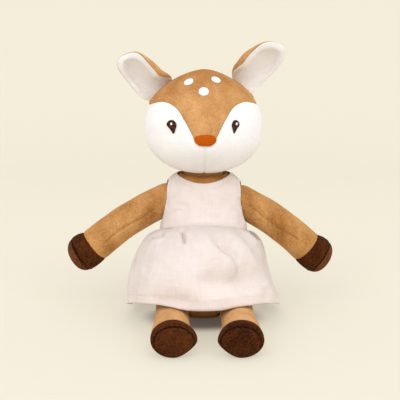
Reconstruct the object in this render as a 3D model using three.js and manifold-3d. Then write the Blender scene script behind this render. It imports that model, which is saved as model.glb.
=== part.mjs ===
// A plush fawn doll that sits on the floor in a sleeveless dress, sewn from pile fabric round fibre filling.
// Millimetres, +Z up, the face looks along -Y. Left and right are the toy's own, so its left side is at +X.
// The toy is built round its seat and then moved, so that the origin is under the middle of its bounding box.
import * as THREE from 'three';
import { mergeVertices } from 'three/addons/utils/BufferGeometryUtils.js';
import Module from 'manifold-3d';

const wasm = await Module();
wasm.setup();

// Fabrics and clearances
const velour = 2;              // thickness of the pile fabric of every skin panel
const cotton = 1.2;            // thickness of the dress cloth
const seamGap = 0.3;           // between two panels that a seam joins
const fillGap = 0.6;           // between a panel and the filling behind it
const swingGap = 0.5;          // between a part that swings and its seat
const stitchLift = 0.45;       // stitched pieces stand this far off the skin
const overrun = 40;            // how far a cutter runs past what it cuts

// Head
const headWidth = 106;
const headDepth = 92;
const crownHeight = 49.5;      // from the head's centre to its top
const crownPointShare = 0.25;  // the crown narrows more than a round one towards its top
const jawHeight = 40.5;        // from the head's centre to its underside
const jawSag = 5;              // the chin hangs lower than the back of the jaw
const jawRoundShare = 0.84;
const chinGap = 2;             // between the underside of the jaw and the top of the body
const headCentreBack = 9;
const headTurnDegrees = 1.5;   // the face looks a little to the toy's left
const muzzleLength = 13;       // how far the muzzle stands out of the round head
const muzzleSpreadShare = 0.13;
const backSeamBack = 9;        // seam over the head, behind its centre
// Upper edge of the white cheek in the front view, as shares of half the head's width and of the crown's height
const cheekEdgeShares = [[0.1, -0.265], [0.165, -0.18], [0.25, 0], [0.345, 0.18], [0.45, 0.34], [0.575, 0.425],
  [0.715, 0.445], [0.885, 0.38], [0.985, 0.245], [1.1, 0.18]];

// Face
const eyeSide = 27;
const eyeRise = 2;
const eyeWidths = { left: 7.6, right: 9.4 };
const eyeHeight = 10;
const eyeThickness = 1;
const glintSize = 2.2;
const glintRise = 2.2;
const noseDrop = 8.5;          // nose below the head's centre
const noseWidth = 17.5;
const noseHeight = 9.8;
const noseThickness = 2.4;
const spotSize = 8;
const spotThickness = 0.9;
const spotSides = { left: 12, right: 13.5 };
const spotRises = { left: 42, right: 40 };
const spotMiddleRise = 31;

// Ears
const earLength = 51;
const earFlatWidth = 53;       // twice its inner half, across the ear before it is cupped
const earOuterShare = 0.66;    // its outer half is narrower
const earRootShare = 0.66;     // width at the root against the widest
const earCupRadius = 20;
const earPanel = 3.6;          // one padded panel of the ear
const earRim = 1.6;            // panel thickness at the rim
const earBackSwell = 5.5;       // the back panel is fuller at its inner edge, near the root
const earTipCurl = 9;          // how far the tip leans forward
const earYawDegrees = 36;      // the cup opens forward and to the side
const earOutDegrees = { left: 29, right: 33 };
const earNodDegrees = { left: -2, right: -22 };
const earRootSides = { left: 35, right: 38.5 };
const earRootBack = 19;        // ear root behind the head's centre
const earRollRadius = 2.8;     // the pinched seam roll that the ear folds on
const earRollLength = 20;

// Body: radius and height as shares of the half width and the height
const bodyHalfWidth = 44;
const bodyHeight = 127.5;
const bodyProfileShares = [[0, 0], [0.42, 0], [0.66, 0.018], [0.86, 0.06], [0.96, 0.11], [1, 0.19], [0.98, 0.29],
  [0.92, 0.42], [0.865, 0.57], [0.845, 0.7], [0.84, 0.8], [0.815, 0.865], [0.745, 0.92], [0.62, 0.965], [0.45, 0.993], [0, 1]];
const bodySeatBack = -8;       // middle of the seat
const bodyDepthShare = 0.83;   // depth against width
const bodyLeanShare = 0.15;    // how far back it leans for each unit of height
const seatPanelHeight = 5;
const neckRadius = 18.2;
const neckSink = 14;           // how deep the neck goes into the body
const neckBallRadius = 19;
const neckRise = 5.5;          // the head nods about a point this far above the body's top
const pouchWidth = 50;
const pouchHeight = 24;
const pouchDepthShare = 0.75;

// Arms
const armRadius = 14.7;
const armWristRadius = 15.4;
const armLengths = { left: 76, right: 79 };      // shoulder pivot to the hoof's first seam
const armHoofBand = 14.4;
const armHoofPad = 10;
const armHoofRadius = 17;
const shoulderSide = 34;
const shoulderDrops = { left: 26.5, right: 25 };  // below the body's top
const armDropDegrees = { left: 35.7, right: 32.7 };
const armBow = 3;              // the arm hangs in a bow
const armForwardDegrees = { left: -3, right: 3 };
const armRaiseDegrees = 60;
const armSlantShares = [-0.118, 0.04];           // the hoof's two seams slant across the arm

// Legs
const legRadius = 13.2;
const legAnkleRadius = 13.6;
const legLength = 82;          // hip pivot to the hoof's first seam
const legHoofBand = 11;
const legHoofPad = 4.5;
const legHoofRadius = 14.2;
const legWidthShare = 1.08;    // legs and soles are wider than they are high
const soleWidthShare = 1.28;
const hipSide = 28.5;
const hipForward = 24;
const legTurnDegrees = { left: -0.2, right: 3.6 };  // toes turned in
const legDropDegrees = 80;

// Tail
const tailLength = 21;
const tailWidth = 13;
const tailPanel = 2.8;
const tailRootHeight = 46;
const tailRollRadius = 2.6;
const tailOutDegrees = 24;

// Dress
const waistDrop = 53.5;        // waist seam below the body's top
const waistTiltShare = 0.33;    // the waist seam rises to the front
const necklineRadius = 25.5;
const necklineForward = 4;
const armholeHalfDepth = 14;
const armholeHalfHeight = 17.5;
const armholeRise = 0.5;       // armhole's middle above the shoulder pivot
const skirtHalfWidth = 69;
const skirtFrontReach = 84;    // from the toy's origin to the front of the hem
const skirtBackReach = 53;
const hemSideHeight = 5;
const hemThighHeight = 28.4;
const hemMiddleDip = 2.9;        // the hem hangs lower between the thighs
const hemBackHeight = 2;
const skirtCornerShare = 0.9;  // under one, the hem's outline is fuller than an oval
const skirtBellShare = 0.8;
const hemRisePower = 1.35;      // how quickly the hem rises at the sides
const skirtHollow = 8;         // the skirt hangs in more on the toy's left side
const thighShare = 0.9;       // the hem's height is reached here on its way from the side to the front
const foldDepth = 2.2;
const foldCount = 11;
const buttonRadius = 3.8;
const buttonThickness = 2;
const buttonRim = 0.5;
const buttonDrops = { upper: 15.5, lower: 33.5 }; // below the body's top
const loopThread = 0.6;        // radius of the thread loops that hold the buttons
const loopLift = 0.35;

const headCentreHeight = bodyHeight + chinGap + jawHeight;
const neckPivotHeight = bodyHeight + neckRise;
const waistHeight = bodyHeight - waistDrop;
const shoulderHeight = (name) => bodyHeight - shoulderDrops[name];

const colours = { tan: 0xc8935a, white: 0xfcf8f2, hoof: 0x5a3220, orange: 0xc05a10, dark: 0x3a2418, cream: 0xf3e4d8,
  thread: 0xffffff, filling: 0xf4f2ee, pouch: 0xd8d2c4 };
const sides = [{ name: 'left', sign: 1 }, { name: 'right', sign: -1 }];
const radians = THREE.MathUtils.degToRad;
const smooth = THREE.MathUtils.smoothstep;

// Solids from geometries, and back

const weld = 1e-3;
const fineness = 0.05;         // slivers of the cuts under this size are left out
const roomFineness = 0.15;     // the same for the rooms that the limbs swing in
const fillFineness = 0.25;     // and for the fillings, which keep further from their neighbours

function solid(geometry) {
  const loose = geometry.index ? geometry.toNonIndexed() : geometry.clone();
  loose.deleteAttribute('normal');
  loose.deleteAttribute('uv');
  const merged = mergeVertices(loose, weld);
  const vertProperties = merged.attributes.position.array;
  const triVerts = new Uint32Array(merged.index.array);
  const made = new wasm.Manifold(new wasm.Mesh({ numProp: 3, vertProperties, triVerts }));
  if (made.volume() > 0) return made;
  for (let i = 0; i < triVerts.length; i += 3) {
    [triVerts[i], triVerts[i + 1]] = [triVerts[i + 1], triVerts[i]];
  }
  return new wasm.Manifold(new wasm.Mesh({ numProp: 3, vertProperties, triVerts }));
}

function geometryOf(body) {
  const mesh = body.getMesh();
  const positions = new Float32Array(mesh.numVert * 3);
  for (let i = 0; i < mesh.numVert; i += 1) {
    positions.set(mesh.vertProperties.subarray(i * mesh.numProp, i * mesh.numProp + 3), i * 3);
  }
  const geometry = new THREE.BufferGeometry();
  geometry.setAttribute('position', new THREE.BufferAttribute(positions, 3));
  geometry.setIndex(new THREE.BufferAttribute(mesh.triVerts, 1));
  geometry.computeVertexNormals();
  return geometry;
}

// The largest piece of a cut body, without the slivers of the cut.
function largest(body) {
  return body.decompose().sort((a, b) => b.volume() - a.volume())[0];
}

function bend(geometry, change) {
  const position = geometry.attributes.position;
  const point = new THREE.Vector3();
  for (let i = 0; i < position.count; i += 1) {
    point.fromBufferAttribute(position, i);
    change(point);
    position.setXYZ(i, point.x, point.y, point.z);
  }
  return geometry;
}

// A lathe turned so that its axis is Z: profile points are [radius, height].
function turned(profile, segments) {
  const points = profile.map(([radius, height]) => new THREE.Vector2(radius, height));
  return new THREE.LatheGeometry(points, segments).rotateX(Math.PI / 2);
}

// The same profile moved in by a wall's thickness, square to itself.
function inward(profile, wall) {
  return profile.map(([radius, height], i) => {
    const [r0, z0] = profile[Math.max(i - 1, 0)];
    const [r1, z1] = profile[Math.min(i + 1, profile.length - 1)];
    const run = new THREE.Vector2(r1 - r0, z1 - z0).normalize();
    return [radius === 0 ? 0 : Math.max(radius - run.y * wall, 0), height + run.x * wall];
  });
}

function faced(positions, faces) {
  const geometry = new THREE.BufferGeometry();
  geometry.setAttribute('position', new THREE.Float32BufferAttribute(positions, 3));
  geometry.setIndex(faces);
  return solid(geometry);
}

// A closed pad over the unit disc. place(across, along, top) gives its points: top is 0 underneath and 1 above.
function pad(place, rings, sectors) {
  const positions = [];
  const faces = [];
  for (const top of [0, 1]) {
    positions.push(...place(0, 0, top));
    for (let ring = 1; ring <= rings; ring += 1) {
      for (let sector = 0; sector < sectors; sector += 1) {
        const angle = (2 * Math.PI * sector) / sectors;
        const radius = Math.sin((Math.PI / 2) * (ring / rings));
        positions.push(...place(radius * Math.cos(angle), radius * Math.sin(angle), top));
      }
    }
  }
  const layer = rings * sectors + 1;
  const at = (top, ring, sector) => top * layer + (ring ? 1 + (ring - 1) * sectors + (sector % sectors) : 0);
  for (let sector = 0; sector < sectors; sector += 1) {
    const next = sector + 1;
    for (const top of [0, 1]) {
      const face = (a, b, c) => faces.push(...(top ? [a, b, c] : [a, c, b]));
      face(at(top, 0, 0), at(top, 1, sector), at(top, 1, next));
      for (let ring = 1; ring < rings; ring += 1) {
        face(at(top, ring, sector), at(top, ring + 1, sector), at(top, ring + 1, next));
        face(at(top, ring, sector), at(top, ring + 1, next), at(top, ring, next));
      }
    }
    faces.push(at(0, rings, sector), at(0, rings, next), at(1, rings, next));
    faces.push(at(0, rings, sector), at(1, rings, next), at(1, rings, sector));
  }
  return faced(positions, faces);
}

// A shell round the Z axis, open above and below. place(sector, row, inner) gives its points.
function openShell(place, sectors, rows) {
  const positions = [];
  const faces = [];
  for (const inner of [0, 1]) {
    for (let row = 0; row <= rows; row += 1) {
      for (let sector = 0; sector < sectors; sector += 1) positions.push(...place(sector, row, inner));
    }
  }
  const at = (inner, row, sector) => (inner * (rows + 1) + row) * sectors + (sector % sectors);
  const quad = (a, b, c, d) => faces.push(a, b, c, a, c, d);
  for (let sector = 0; sector < sectors; sector += 1) {
    const next = sector + 1;
    for (let row = 0; row < rows; row += 1) {
      quad(at(0, row, sector), at(0, row + 1, sector), at(0, row + 1, next), at(0, row, next));
      quad(at(1, row, sector), at(1, row, next), at(1, row + 1, next), at(1, row + 1, sector));
    }
    quad(at(0, 0, sector), at(0, 0, next), at(1, 0, next), at(1, 0, sector));
    quad(at(0, rows, sector), at(1, rows, sector), at(1, rows, next), at(0, rows, next));
  }
  return faced(positions, faces);
}

function block(low, high) {
  const size = new THREE.Vector3().subVectors(high, low);
  const middle = new THREE.Vector3().addVectors(low, high).multiplyScalar(0.5);
  return solid(new THREE.BoxGeometry(size.x, size.y, size.z).translate(middle.x, middle.y, middle.z));
}

function ball(centre, radius, segments = 18) {
  return solid(new THREE.SphereGeometry(radius, segments, (segments * 2) / 3).translate(centre.x, centre.y, centre.z));
}

const moved = (body, matrix) => body.transform(matrix.elements);
const shift = (point) => new THREE.Matrix4().makeTranslation(point.x, point.y, point.z);
const turn = (axis, angle) => new THREE.Matrix4().makeRotationAxis(new THREE.Vector3(...axis), angle);
const chain = (...matrices) => matrices.reduce((all, one) => all.clone().multiply(one));
const handed = (body, sign) => (sign > 0 ? body : body.mirror([1, 0, 0]));

// The room that a body needs while it turns about a pivot: the hull of it at every angle.
function sweep(body, pivot, axis, degrees) {
  const back = shift(pivot.clone().negate());
  const copies = degrees.map((angle) => moved(body, chain(shift(pivot), turn(axis, radians(angle)), back)));
  return wasm.Manifold.hull(copies);
}

const toy = new THREE.Group();

function add(name, body, colour, roughness = 0.95) {
  const material = new THREE.MeshStandardMaterial({ color: colour, roughness, metalness: 0 });
  const mesh = new THREE.Mesh(geometryOf(body.simplify(fineness)), material);
  mesh.name = name;
  toy.add(mesh);
}

// Body: a pear that leans back, flat under the seat

const bodyProfile = bodyProfileShares.map(([wide, high]) => [wide * bodyHalfWidth, high * bodyHeight]);

function bodyMiddleAt(height) {
  return bodySeatBack + bodyLeanShare * height;
}

function bodyRadiusAt(height) {
  const above = bodyProfile.findIndex(([, z], i) => i > 1 && z >= height);
  const [r0, z0] = bodyProfile[above - 1];
  const [r1, z1] = bodyProfile[above];
  return r0 + ((r1 - r0) * (height - z0)) / (z1 - z0);
}

function lean(point) {
  point.y = point.y * bodyDepthShare + bodyMiddleAt(point.z);
}

// The body's surface, moved in by a wall, or out by a negative one.
function bodySurface(wall, segments = 24) {
  return solid(bend(turned(inward(bodyProfile, wall), segments), lean));
}

// Everything above a plane through the body's middle line that rises towards the front by a share.
function above(height, riseShare) {
  const far = bodyHeight + overrun;
  const box = new THREE.BoxGeometry(2 * far, 2 * far, far).translate(0, 0, far / 2);
  return solid(bend(box, (point) => { point.z += height - riseShare * (point.y - bodyMiddleAt(height)); }));
}

// Everything in front of the body's middle plane, or behind it.
function halfOf(front) {
  const far = bodyHeight + overrun;
  const box = new THREE.BoxGeometry(2 * far, far, 2 * far).translate(0, ((front ? -1 : 1) * (far + seamGap)) / 2, 0);
  return solid(bend(box, (point) => { point.y += bodyMiddleAt(point.z); }));
}

const neckPivot = new THREE.Vector3(0, bodyMiddleAt(neckPivotHeight), neckPivotHeight);
const upright = (centre, radius, low, high) => solid(new THREE.CylinderGeometry(radius, radius, high - low, 24)
  .rotateX(Math.PI / 2).translate(centre.x, centre.y, (low + high) / 2));

// Limbs: a pile tube with a rounded root, a dark hoof band and a dark end pad, round one filling.
// Each is made along +Z from its pivot, for the toy's left side.

function rootAndTube({ root, end, length }) {
  const arc = Array.from({ length: 5 }, (_, i) => -Math.PI / 2 + (i / 4) * (Math.PI / 2));
  const shares = [0.5, 1];
  return [...arc.map((angle, i) => [i ? root * Math.cos(angle) : 0, root * Math.sin(angle)]),
    ...shares.map((share) => [root + (end - root) * share ** 2, length * share])];
}

function limbSolids(sizes, shape) {
  const { end, hoof, length, band, tip } = sizes;
  const tube = rootAndTube(sizes);
  const padFoot = length + band + seamGap;
  const bandLine = [[(hoof + end) / 2, length + seamGap], [hoof, length + band / 2], [hoof, length + band]];
  const quarter = Array.from({ length: 4 }, (_, i) => (i / 3) * (Math.PI / 2));
  const dome = (wall, foot, rise) => quarter.map((angle, i) => [
    i === 3 ? 0 : (hoof - wall) * Math.cos(angle), foot + rise * Math.sin(angle)]);
  const behind = velour + fillGap;
  const make = (profile, segments = 16) => solid(bend(turned(profile, segments), shape));
  const bandInside = bandLine.map(([radius, height]) => [radius - velour, height]);
  const bandFilling = bandLine.map(([radius, height]) => [radius - behind, height]);
  return {
    skin: make([...tube, ...inward(tube, velour).reverse()]),
    band: make([...bandLine, ...bandInside.reverse(), bandLine[0]]),
    pad: make([...dome(0, padFoot, tip), ...dome(velour, padFoot, tip - velour).reverse(), [hoof, padFoot]]),
    filling: make([...inward(tube, behind), ...bandFilling, ...dome(behind, length + band, tip - behind).slice(1)], 8),
  };
}

function addLimb(limb, { name, sign }, sizes, shape, matrix) {
  const { skin, band, pad: end, filling } = limbSolids(sizes, shape);
  const put = (part, body, colour) => add(`${part}_${name}`, moved(handed(body, sign), matrix), colour);
  put(limb, skin, colours.tan);
  put(`${limb}_hoof_band`, band, colours.hoof);
  put(`${limb}_hoof_pad`, end, colours.hoof);
  put(`${limb}_filling`, filling, colours.filling);
}

// The limb's tube, larger by a clearance all round its facets, in its place.
function limbRoom({ sign }, sizes, shape, matrix, gap, around) {
  const wider = (radius) => (radius + gap) / Math.cos(Math.PI / around);
  const grown = { root: wider(sizes.root), end: wider(sizes.end), length: sizes.length };
  const body = solid(bend(turned([...rootAndTube(grown), [0, grown.length]], around), shape));
  return moved(handed(body, sign), matrix);
}

const armSizes = ({ name }) => ({ root: armRadius, end: armWristRadius, hoof: armHoofRadius,
  length: armLengths[name], band: armHoofBand, tip: armHoofPad });

const armShape = ({ name }) => (point) => {
  const first = armLengths[name];
  const slant = armSlantShares[0] * smooth(point.z, first / 2, first)
    + (armSlantShares[1] - armSlantShares[0]) * smooth(point.z, first, first + armHoofBand);
  point.z += slant * point.x;
  point.x -= armBow * Math.sin(Math.PI * Math.min(1, Math.max(0, point.z / first)));
};

const shoulderPivot = ({ name, sign }) => new THREE.Vector3(
  sign * shoulderSide, bodyMiddleAt(shoulderHeight(name)), shoulderHeight(name));

const armMatrix = (side) => chain(
  shift(shoulderPivot(side)),
  turn([0, 0, 1], -side.sign * radians(armForwardDegrees[side.name])),
  turn([0, 1, 0], side.sign * (Math.PI / 2 + radians(armDropDegrees[side.name]))),
);

const legSizes = { root: legRadius, end: legAnkleRadius, hoof: legHoofRadius,
  length: legLength, band: legHoofBand, tip: legHoofPad };

// The leg lies on the floor: its middle rises as it gets thicker.
const legShape = (point) => {
  point.x *= legWidthShare + (soleWidthShare - legWidthShare) * smooth(point.z, legLength / 2, legLength + legHoofBand);
  point.y += (legHoofRadius - legRadius) * smooth(point.z, legLength / 3, legLength);
};

const hipPivot = ({ sign }) => new THREE.Vector3(sign * hipSide, -hipForward, legRadius);

const legMatrix = (side) => chain(
  shift(hipPivot(side)),
  turn([0, 0, 1], -side.sign * radians(legTurnDegrees[side.name])),
  turn([1, 0, 0], Math.PI / 2),
);

function armSweep(side, gap, around) {
  const room = limbRoom(side, armSizes(side), armShape(side), armMatrix(side), gap, around);
  return sweep(room, shoulderPivot(side), [0, -side.sign, 0], [0, armRaiseDegrees / 2, armRaiseDegrees]);
}

function legSweep(side, gap, around) {
  const room = limbRoom(side, legSizes, legShape, legMatrix(side), gap, around);
  return sweep(room, hipPivot(side), [1, 0, 0], [0, legDropDegrees / 2, legDropDegrees]);
}

const roomsOf = (gap, around) => sides.map((side) => armSweep(side, gap, around).add(legSweep(side, gap, around)))
  .reduce((all, one) => all.add(one)).simplify(roomFineness);
const limbRooms = roomsOf(swingGap, 16);
const neckRoom = upright(neckPivot, neckRadius + seamGap, bodyHeight - neckSink - seamGap, bodyHeight + overrun);

function buildBody() {
  const skin = bodySurface(0).subtract(bodySurface(velour, 12)).subtract(limbRooms).subtract(neckRoom);
  const seatLine = (part) => above(seatPanelHeight + part * seamGap, 0);
  add('body_front', largest(skin.intersect(halfOf(true)).intersect(seatLine(1))), colours.tan);
  add('body_back', largest(skin.intersect(halfOf(false)).intersect(seatLine(1))), colours.tan);
  add('body_seat', largest(skin.subtract(seatLine(0))), colours.tan);

  // a pouch of pellets lies on the seat, the fibre filling above and round it
  const foot = velour + seamGap;
  const half = pouchWidth / 2;
  const bulgeShares = [[0, 0], [0.75, 0], [0.95, 0.2], [1, 0.45], [0.85, 0.8], [0.5, 0.96], [0, 1]];
  const pouchProfile = bulgeShares.map(([wide, high]) => [wide * half, high * pouchHeight]);
  const pouchSurface = (grow) => solid(bend(turned(inward(pouchProfile, -grow), 14), (point) => {
    point.y = point.y * pouchDepthShare + bodyMiddleAt(foot);
    point.z += foot;
  }));
  const pouchRoom = pouchSurface(seamGap).add(block(
    new THREE.Vector3(-half / 2, bodyMiddleAt(foot) - half / 2, -overrun),
    new THREE.Vector3(half / 2, bodyMiddleAt(foot) + half / 2, foot + seamGap),
  ));
  add('pellet_pouch', pouchSurface(0).subtract(limbRooms), colours.pouch);
  const filling = bodySurface(velour + fillGap, 12).subtract(pouchRoom).subtract(roomsOf(fillGap, 8)).subtract(neckRoom);
  add('body_filling', largest(filling).simplify(fillFineness), colours.filling);
}

// Neck: a round stub that turns in the body, with a ball on which the head nods
function buildNeck() {
  const foot = bodyHeight - neckSink - neckPivotHeight;
  const start = Math.asin((bodyHeight - neckPivotHeight) / neckBallRadius);
  const arc = Array.from({ length: 7 }, (_, i) => start + (i / 6) * (Math.PI / 2 - start));
  const profile = [[0, foot], [neckRadius, foot], [neckRadius, bodyHeight - neckPivotHeight],
    ...arc.slice(1).map((angle, i) => [i === 5 ? 0 : neckBallRadius * Math.cos(angle), neckBallRadius * Math.sin(angle)])];
  add('neck', moved(solid(turned(profile, 20)), shift(neckPivot)), colours.tan);
}

// Head: round, with full cheeks and a short muzzle, made round its own centre

const noseDirection = new THREE.Vector3(0, -headDepth / 2, -noseDrop).normalize();
const headMiddle = new THREE.Vector3(0, headCentreBack, headCentreHeight);
const headMatrix = chain(shift(headMiddle), turn([0, 0, 1], radians(headTurnDegrees)));

// The point of the head's surface in a direction, moved in by an inset.
function headPoint(direction, inset = 0) {
  const level = Math.hypot(direction.x, direction.y);
  const below = direction.z < 0;
  const spread = level > 0 ? level ** (below ? jawRoundShare - 1 : crownPointShare) : 0;
  const muzzle = muzzleLength * Math.exp((direction.dot(noseDirection) - 1) / muzzleSpreadShare);
  const drop = Math.abs(direction.z) ** jawRoundShare;
  const sag = jawSag * drop * Math.max(0, -direction.y) * spread;
  return new THREE.Vector3(
    (headWidth / 2 - inset) * direction.x * spread,
    (headDepth / 2 - inset) * direction.y * spread - muzzle,
    below ? -(jawHeight - inset) * drop - sag : (crownHeight - inset) * direction.z,
  );
}

function headSurface(inset, around, rings) {
  return solid(bend(new THREE.SphereGeometry(1, around, rings).rotateX(Math.PI / 2), (point) => {
    point.copy(headPoint(point.clone().normalize(), inset));
  }));
}

// Cuts out everything under the cheek's upper edge on one side, in front of the seam over the head.
function cheekCutter(sign, grow) {
  const shape = new THREE.Shape();
  const edge = new THREE.SplineCurve(cheekEdgeShares.map(([wide, high]) => new THREE.Vector2(
    (wide * headWidth) / 2, high * crownHeight)));
  const steps = 16;
  const line = edge.getPoints(steps).map((point, i) => {
    const run = edge.getTangent(i / steps);
    return new THREE.Vector2(point.x - run.y * grow, point.y + run.x * grow);
  });
  const inner = seamGap / 2 - grow;
  const outer = headWidth / 2 + overrun;
  shape.moveTo(sign * inner, line[0].y);
  line.forEach((point) => shape.lineTo(sign * point.x, point.y));
  shape.lineTo(sign * outer, line.at(-1).y);
  shape.lineTo(sign * outer, -jawHeight - overrun);
  shape.lineTo(sign * inner, -jawHeight - overrun);
  shape.closePath();
  const depth = headDepth / 2 + muzzleLength + overrun + backSeamBack;
  const cutter = new THREE.ExtrudeGeometry(shape, { depth, bevelEnabled: false });
  return solid(cutter.rotateX(Math.PI / 2).translate(0, backSeamBack - seamGap / 2 + grow, 0));
}

function buildHead() {
  const put = (name, body, colour) => add(name, moved(largest(body), headMatrix), colour);
  const socket = moved(ball(neckPivot, neckBallRadius + swingGap), headMatrix.clone().invert());
  const shell = headSurface(0, 26, 18).subtract(headSurface(velour, 13, 9)).subtract(socket);
  const far = headWidth + overrun;
  for (const { name, sign } of sides) {
    put(`cheek_${name}`, shell.intersect(cheekCutter(sign, 0)), colours.white);
    const low = new THREE.Vector3(sign > 0 ? seamGap / 2 : -far, backSeamBack + seamGap / 2, -far);
    const high = new THREE.Vector3(sign > 0 ? far : -seamGap / 2, far, far);
    put(`back_of_head_${name}`, shell.intersect(block(low, high)), colours.tan);
  }
  const front = block(new THREE.Vector3(-far, -far, -far), new THREE.Vector3(far, backSeamBack - seamGap / 2, far));
  const cheeks = sides.map(({ sign }) => cheekCutter(sign, seamGap));
  put('forehead', shell.intersect(front).subtract(cheeks[0]).subtract(cheeks[1]), colours.tan);
  put('head_filling', headSurface(velour + fillGap, 13, 9).subtract(socket), colours.filling);
}

// The direction from the head's centre to the point of its front that has this side and rise.
function headDirection(side, rise) {
  const direction = new THREE.Vector3(side / headWidth, -1, rise / headWidth);
  for (let step = 0; step < 40; step += 1) {
    direction.normalize();
    const point = headPoint(direction);
    direction.x += (side - point.x) / headWidth;
    direction.z += (rise - point.z) / headWidth;
  }
  return direction.normalize();
}

// A stitched patch that follows the head's surface. outline(across, along) shapes the unit disc.
function facePatch({ side, rise, width, height, thickness, lift = stitchLift }, outline, rings, sectors) {
  const middle = headDirection(side, rise);
  const right = new THREE.Vector3(0, 0, 1).cross(middle).normalize();
  const up = new THREE.Vector3().crossVectors(middle, right);
  const reach = headPoint(middle).length();
  const patch = pad((across, along, top) => {
    const [x, y] = outline(across, along);
    const direction = middle.clone()
      .addScaledVector(right, (x * width) / 2 / reach)
      .addScaledVector(up, (y * height) / 2 / reach)
      .normalize();
    const crown = (1 + Math.sqrt(Math.max(0, 1 - across ** 2 - along ** 2))) / 2;
    return headPoint(direction).addScaledVector(direction, lift + top * thickness * crown).toArray();
  }, rings, sectors);
  return moved(patch, headMatrix);
}

const round = (across, along) => [across, along];
const eyeCornerShare = 0.5;
const noseTaperShare = 0.1;
const teardrop = (sign) => (across, along) => {
  const low = smooth(-along, 0, 1);
  return [across * (1 - eyeCornerShare * low) - sign * eyeCornerShare * low, along];
};
const noseOutline = (across, along) => [across * (1 + noseTaperShare * along), along];

function buildFace() {
  for (const { name, sign } of sides) {
    const eye = { side: sign * eyeSide, rise: eyeRise, width: eyeWidths[name], height: eyeHeight, thickness: eyeThickness };
    add(`eye_${name}`, facePatch(eye, teardrop(sign), 3, 14), colours.dark, 0.5);
    const glint = { side: eye.side, rise: eyeRise + glintRise, width: glintSize, height: glintSize,
      thickness: eyeThickness / 2, lift: stitchLift + eyeThickness + seamGap };
    add(`eye_glint_${name}`, facePatch(glint, round, 1, 8), colours.thread, 0.6);
    const spot = { side: sign * spotSides[name], rise: spotRises[name], width: spotSize, height: spotSize,
      thickness: spotThickness };
    add(`brow_spot_${name}`, facePatch(spot, round, 2, 12), colours.thread);
  }
  const middleSpot = { side: 0, rise: spotMiddleRise, width: spotSize, height: spotSize, thickness: spotThickness };
  add('brow_spot_middle', facePatch(middleSpot, round, 2, 12), colours.thread);
  const nose = { side: 0, rise: -noseDrop, width: noseWidth, height: noseHeight, thickness: noseThickness };
  add('nose', facePatch(nose, noseOutline, 3, 14), colours.orange, 0.6);
}

// Ears: a white panel and a tan panel, cupped, on a pinched seam roll that lies along the head

// A leaf: nearly straight across at the root, widest past its middle, round at the tip.
function leaf(across, along) {
  const power = along < 0 ? 5 : 2.7;
  const length = Math.hypot(across, along);
  const corner = (Math.abs(across) ** power + Math.abs(along) ** power) ** (1 / power);
  const full = corner > 0 ? length / corner : 1;
  const share = (along * full + 1) / 2;
  const wide = across * full * (across > 0 ? earOuterShare : 1);
  return [wide * (earRootShare + (1 - earRootShare) * smooth(share, 0, 0.62)), share];
}

function earPoint(wide, share, offset) {
  const angle = (wide * earFlatWidth) / 2 / earCupRadius;
  const cup = smooth(share, -0.15, 0.5);
  const radius = earCupRadius - offset * cup;
  const point = new THREE.Vector3(
    radius * Math.sin(angle),
    -cup * earCupRadius * (1 - Math.cos(angle)) - offset * Math.cos(angle * cup) - earTipCurl * share ** 3,
    earLength * share,
  );
  return point.applyAxisAngle(new THREE.Vector3(0, 0, 1), radians(earYawDegrees) * smooth(share, 0, 0.5));
}

function earPanelSolid(front) {
  return pad((across, along, top) => {
    const edge = Math.min(1, Math.hypot(across, along));
    const [wide, share] = leaf(across, along);
    const swell = front ? 0 : earBackSwell * smooth(-across, -0.1, 0.6) * smooth(share, 0.02, 0.2)
      * (1 - smooth(share, 0.4, 1));
    const thick = earRim + (earPanel - earRim + swell) * Math.sqrt(1 - edge ** 4);
    const offset = front ? seamGap / 2 + top * thick : -seamGap / 2 - (1 - top) * thick;
    return earPoint(wide, share, offset).toArray();
  }, 4, 18);
}

// Where an ear grows: a point of the top of the head and the way out of the head there.
function earRoot(name) {
  const direction = new THREE.Vector3(earRootSides[name] / headWidth, earRootBack / headWidth, 1);
  for (let step = 0; step < 60; step += 1) {
    direction.normalize();
    const point = headPoint(direction);
    direction.x += (earRootSides[name] - point.x) / headWidth;
    direction.y += (earRootBack - point.y) / headWidth;
  }
  const near = (x, y) => headPoint(direction.clone().add(new THREE.Vector3(x, y, 0)).normalize());
  const stepShare = 1e-3;
  const across = near(stepShare, 0).sub(near(-stepShare, 0));
  const along = near(0, stepShare).sub(near(0, -stepShare));
  return { point: headPoint(direction.normalize()), out: across.cross(along).normalize() };
}

function buildEar({ name, sign }) {
  const { point, out } = earRoot(name);
  const slope = Math.atan2(out.x, out.z);
  const middle = point.clone().addScaledVector(out, earRollRadius + stitchLift);
  middle.x *= sign;
  const standing = turn([0, 1, 0], radians(earOutDegrees[name]) - slope);
  const nodded = turn([1, 0, 0], -radians(earNodDegrees[name]));
  const matrix = chain(headMatrix, shift(middle), turn([0, 1, 0], sign * slope));
  const roll = (grow) => solid(new THREE.CapsuleGeometry(earRollRadius + grow, earRollLength, 3, 10).rotateZ(Math.PI / 2));
  const panel = (front) => moved(earPanelSolid(front), chain(nodded, standing));
  add(`ear_back_${name}`, moved(handed(largest(panel(false).add(roll(0))), sign), matrix), colours.tan);
  add(`ear_lining_${name}`, moved(handed(largest(panel(true).subtract(roll(seamGap))), sign), matrix), colours.white);
}

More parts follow.
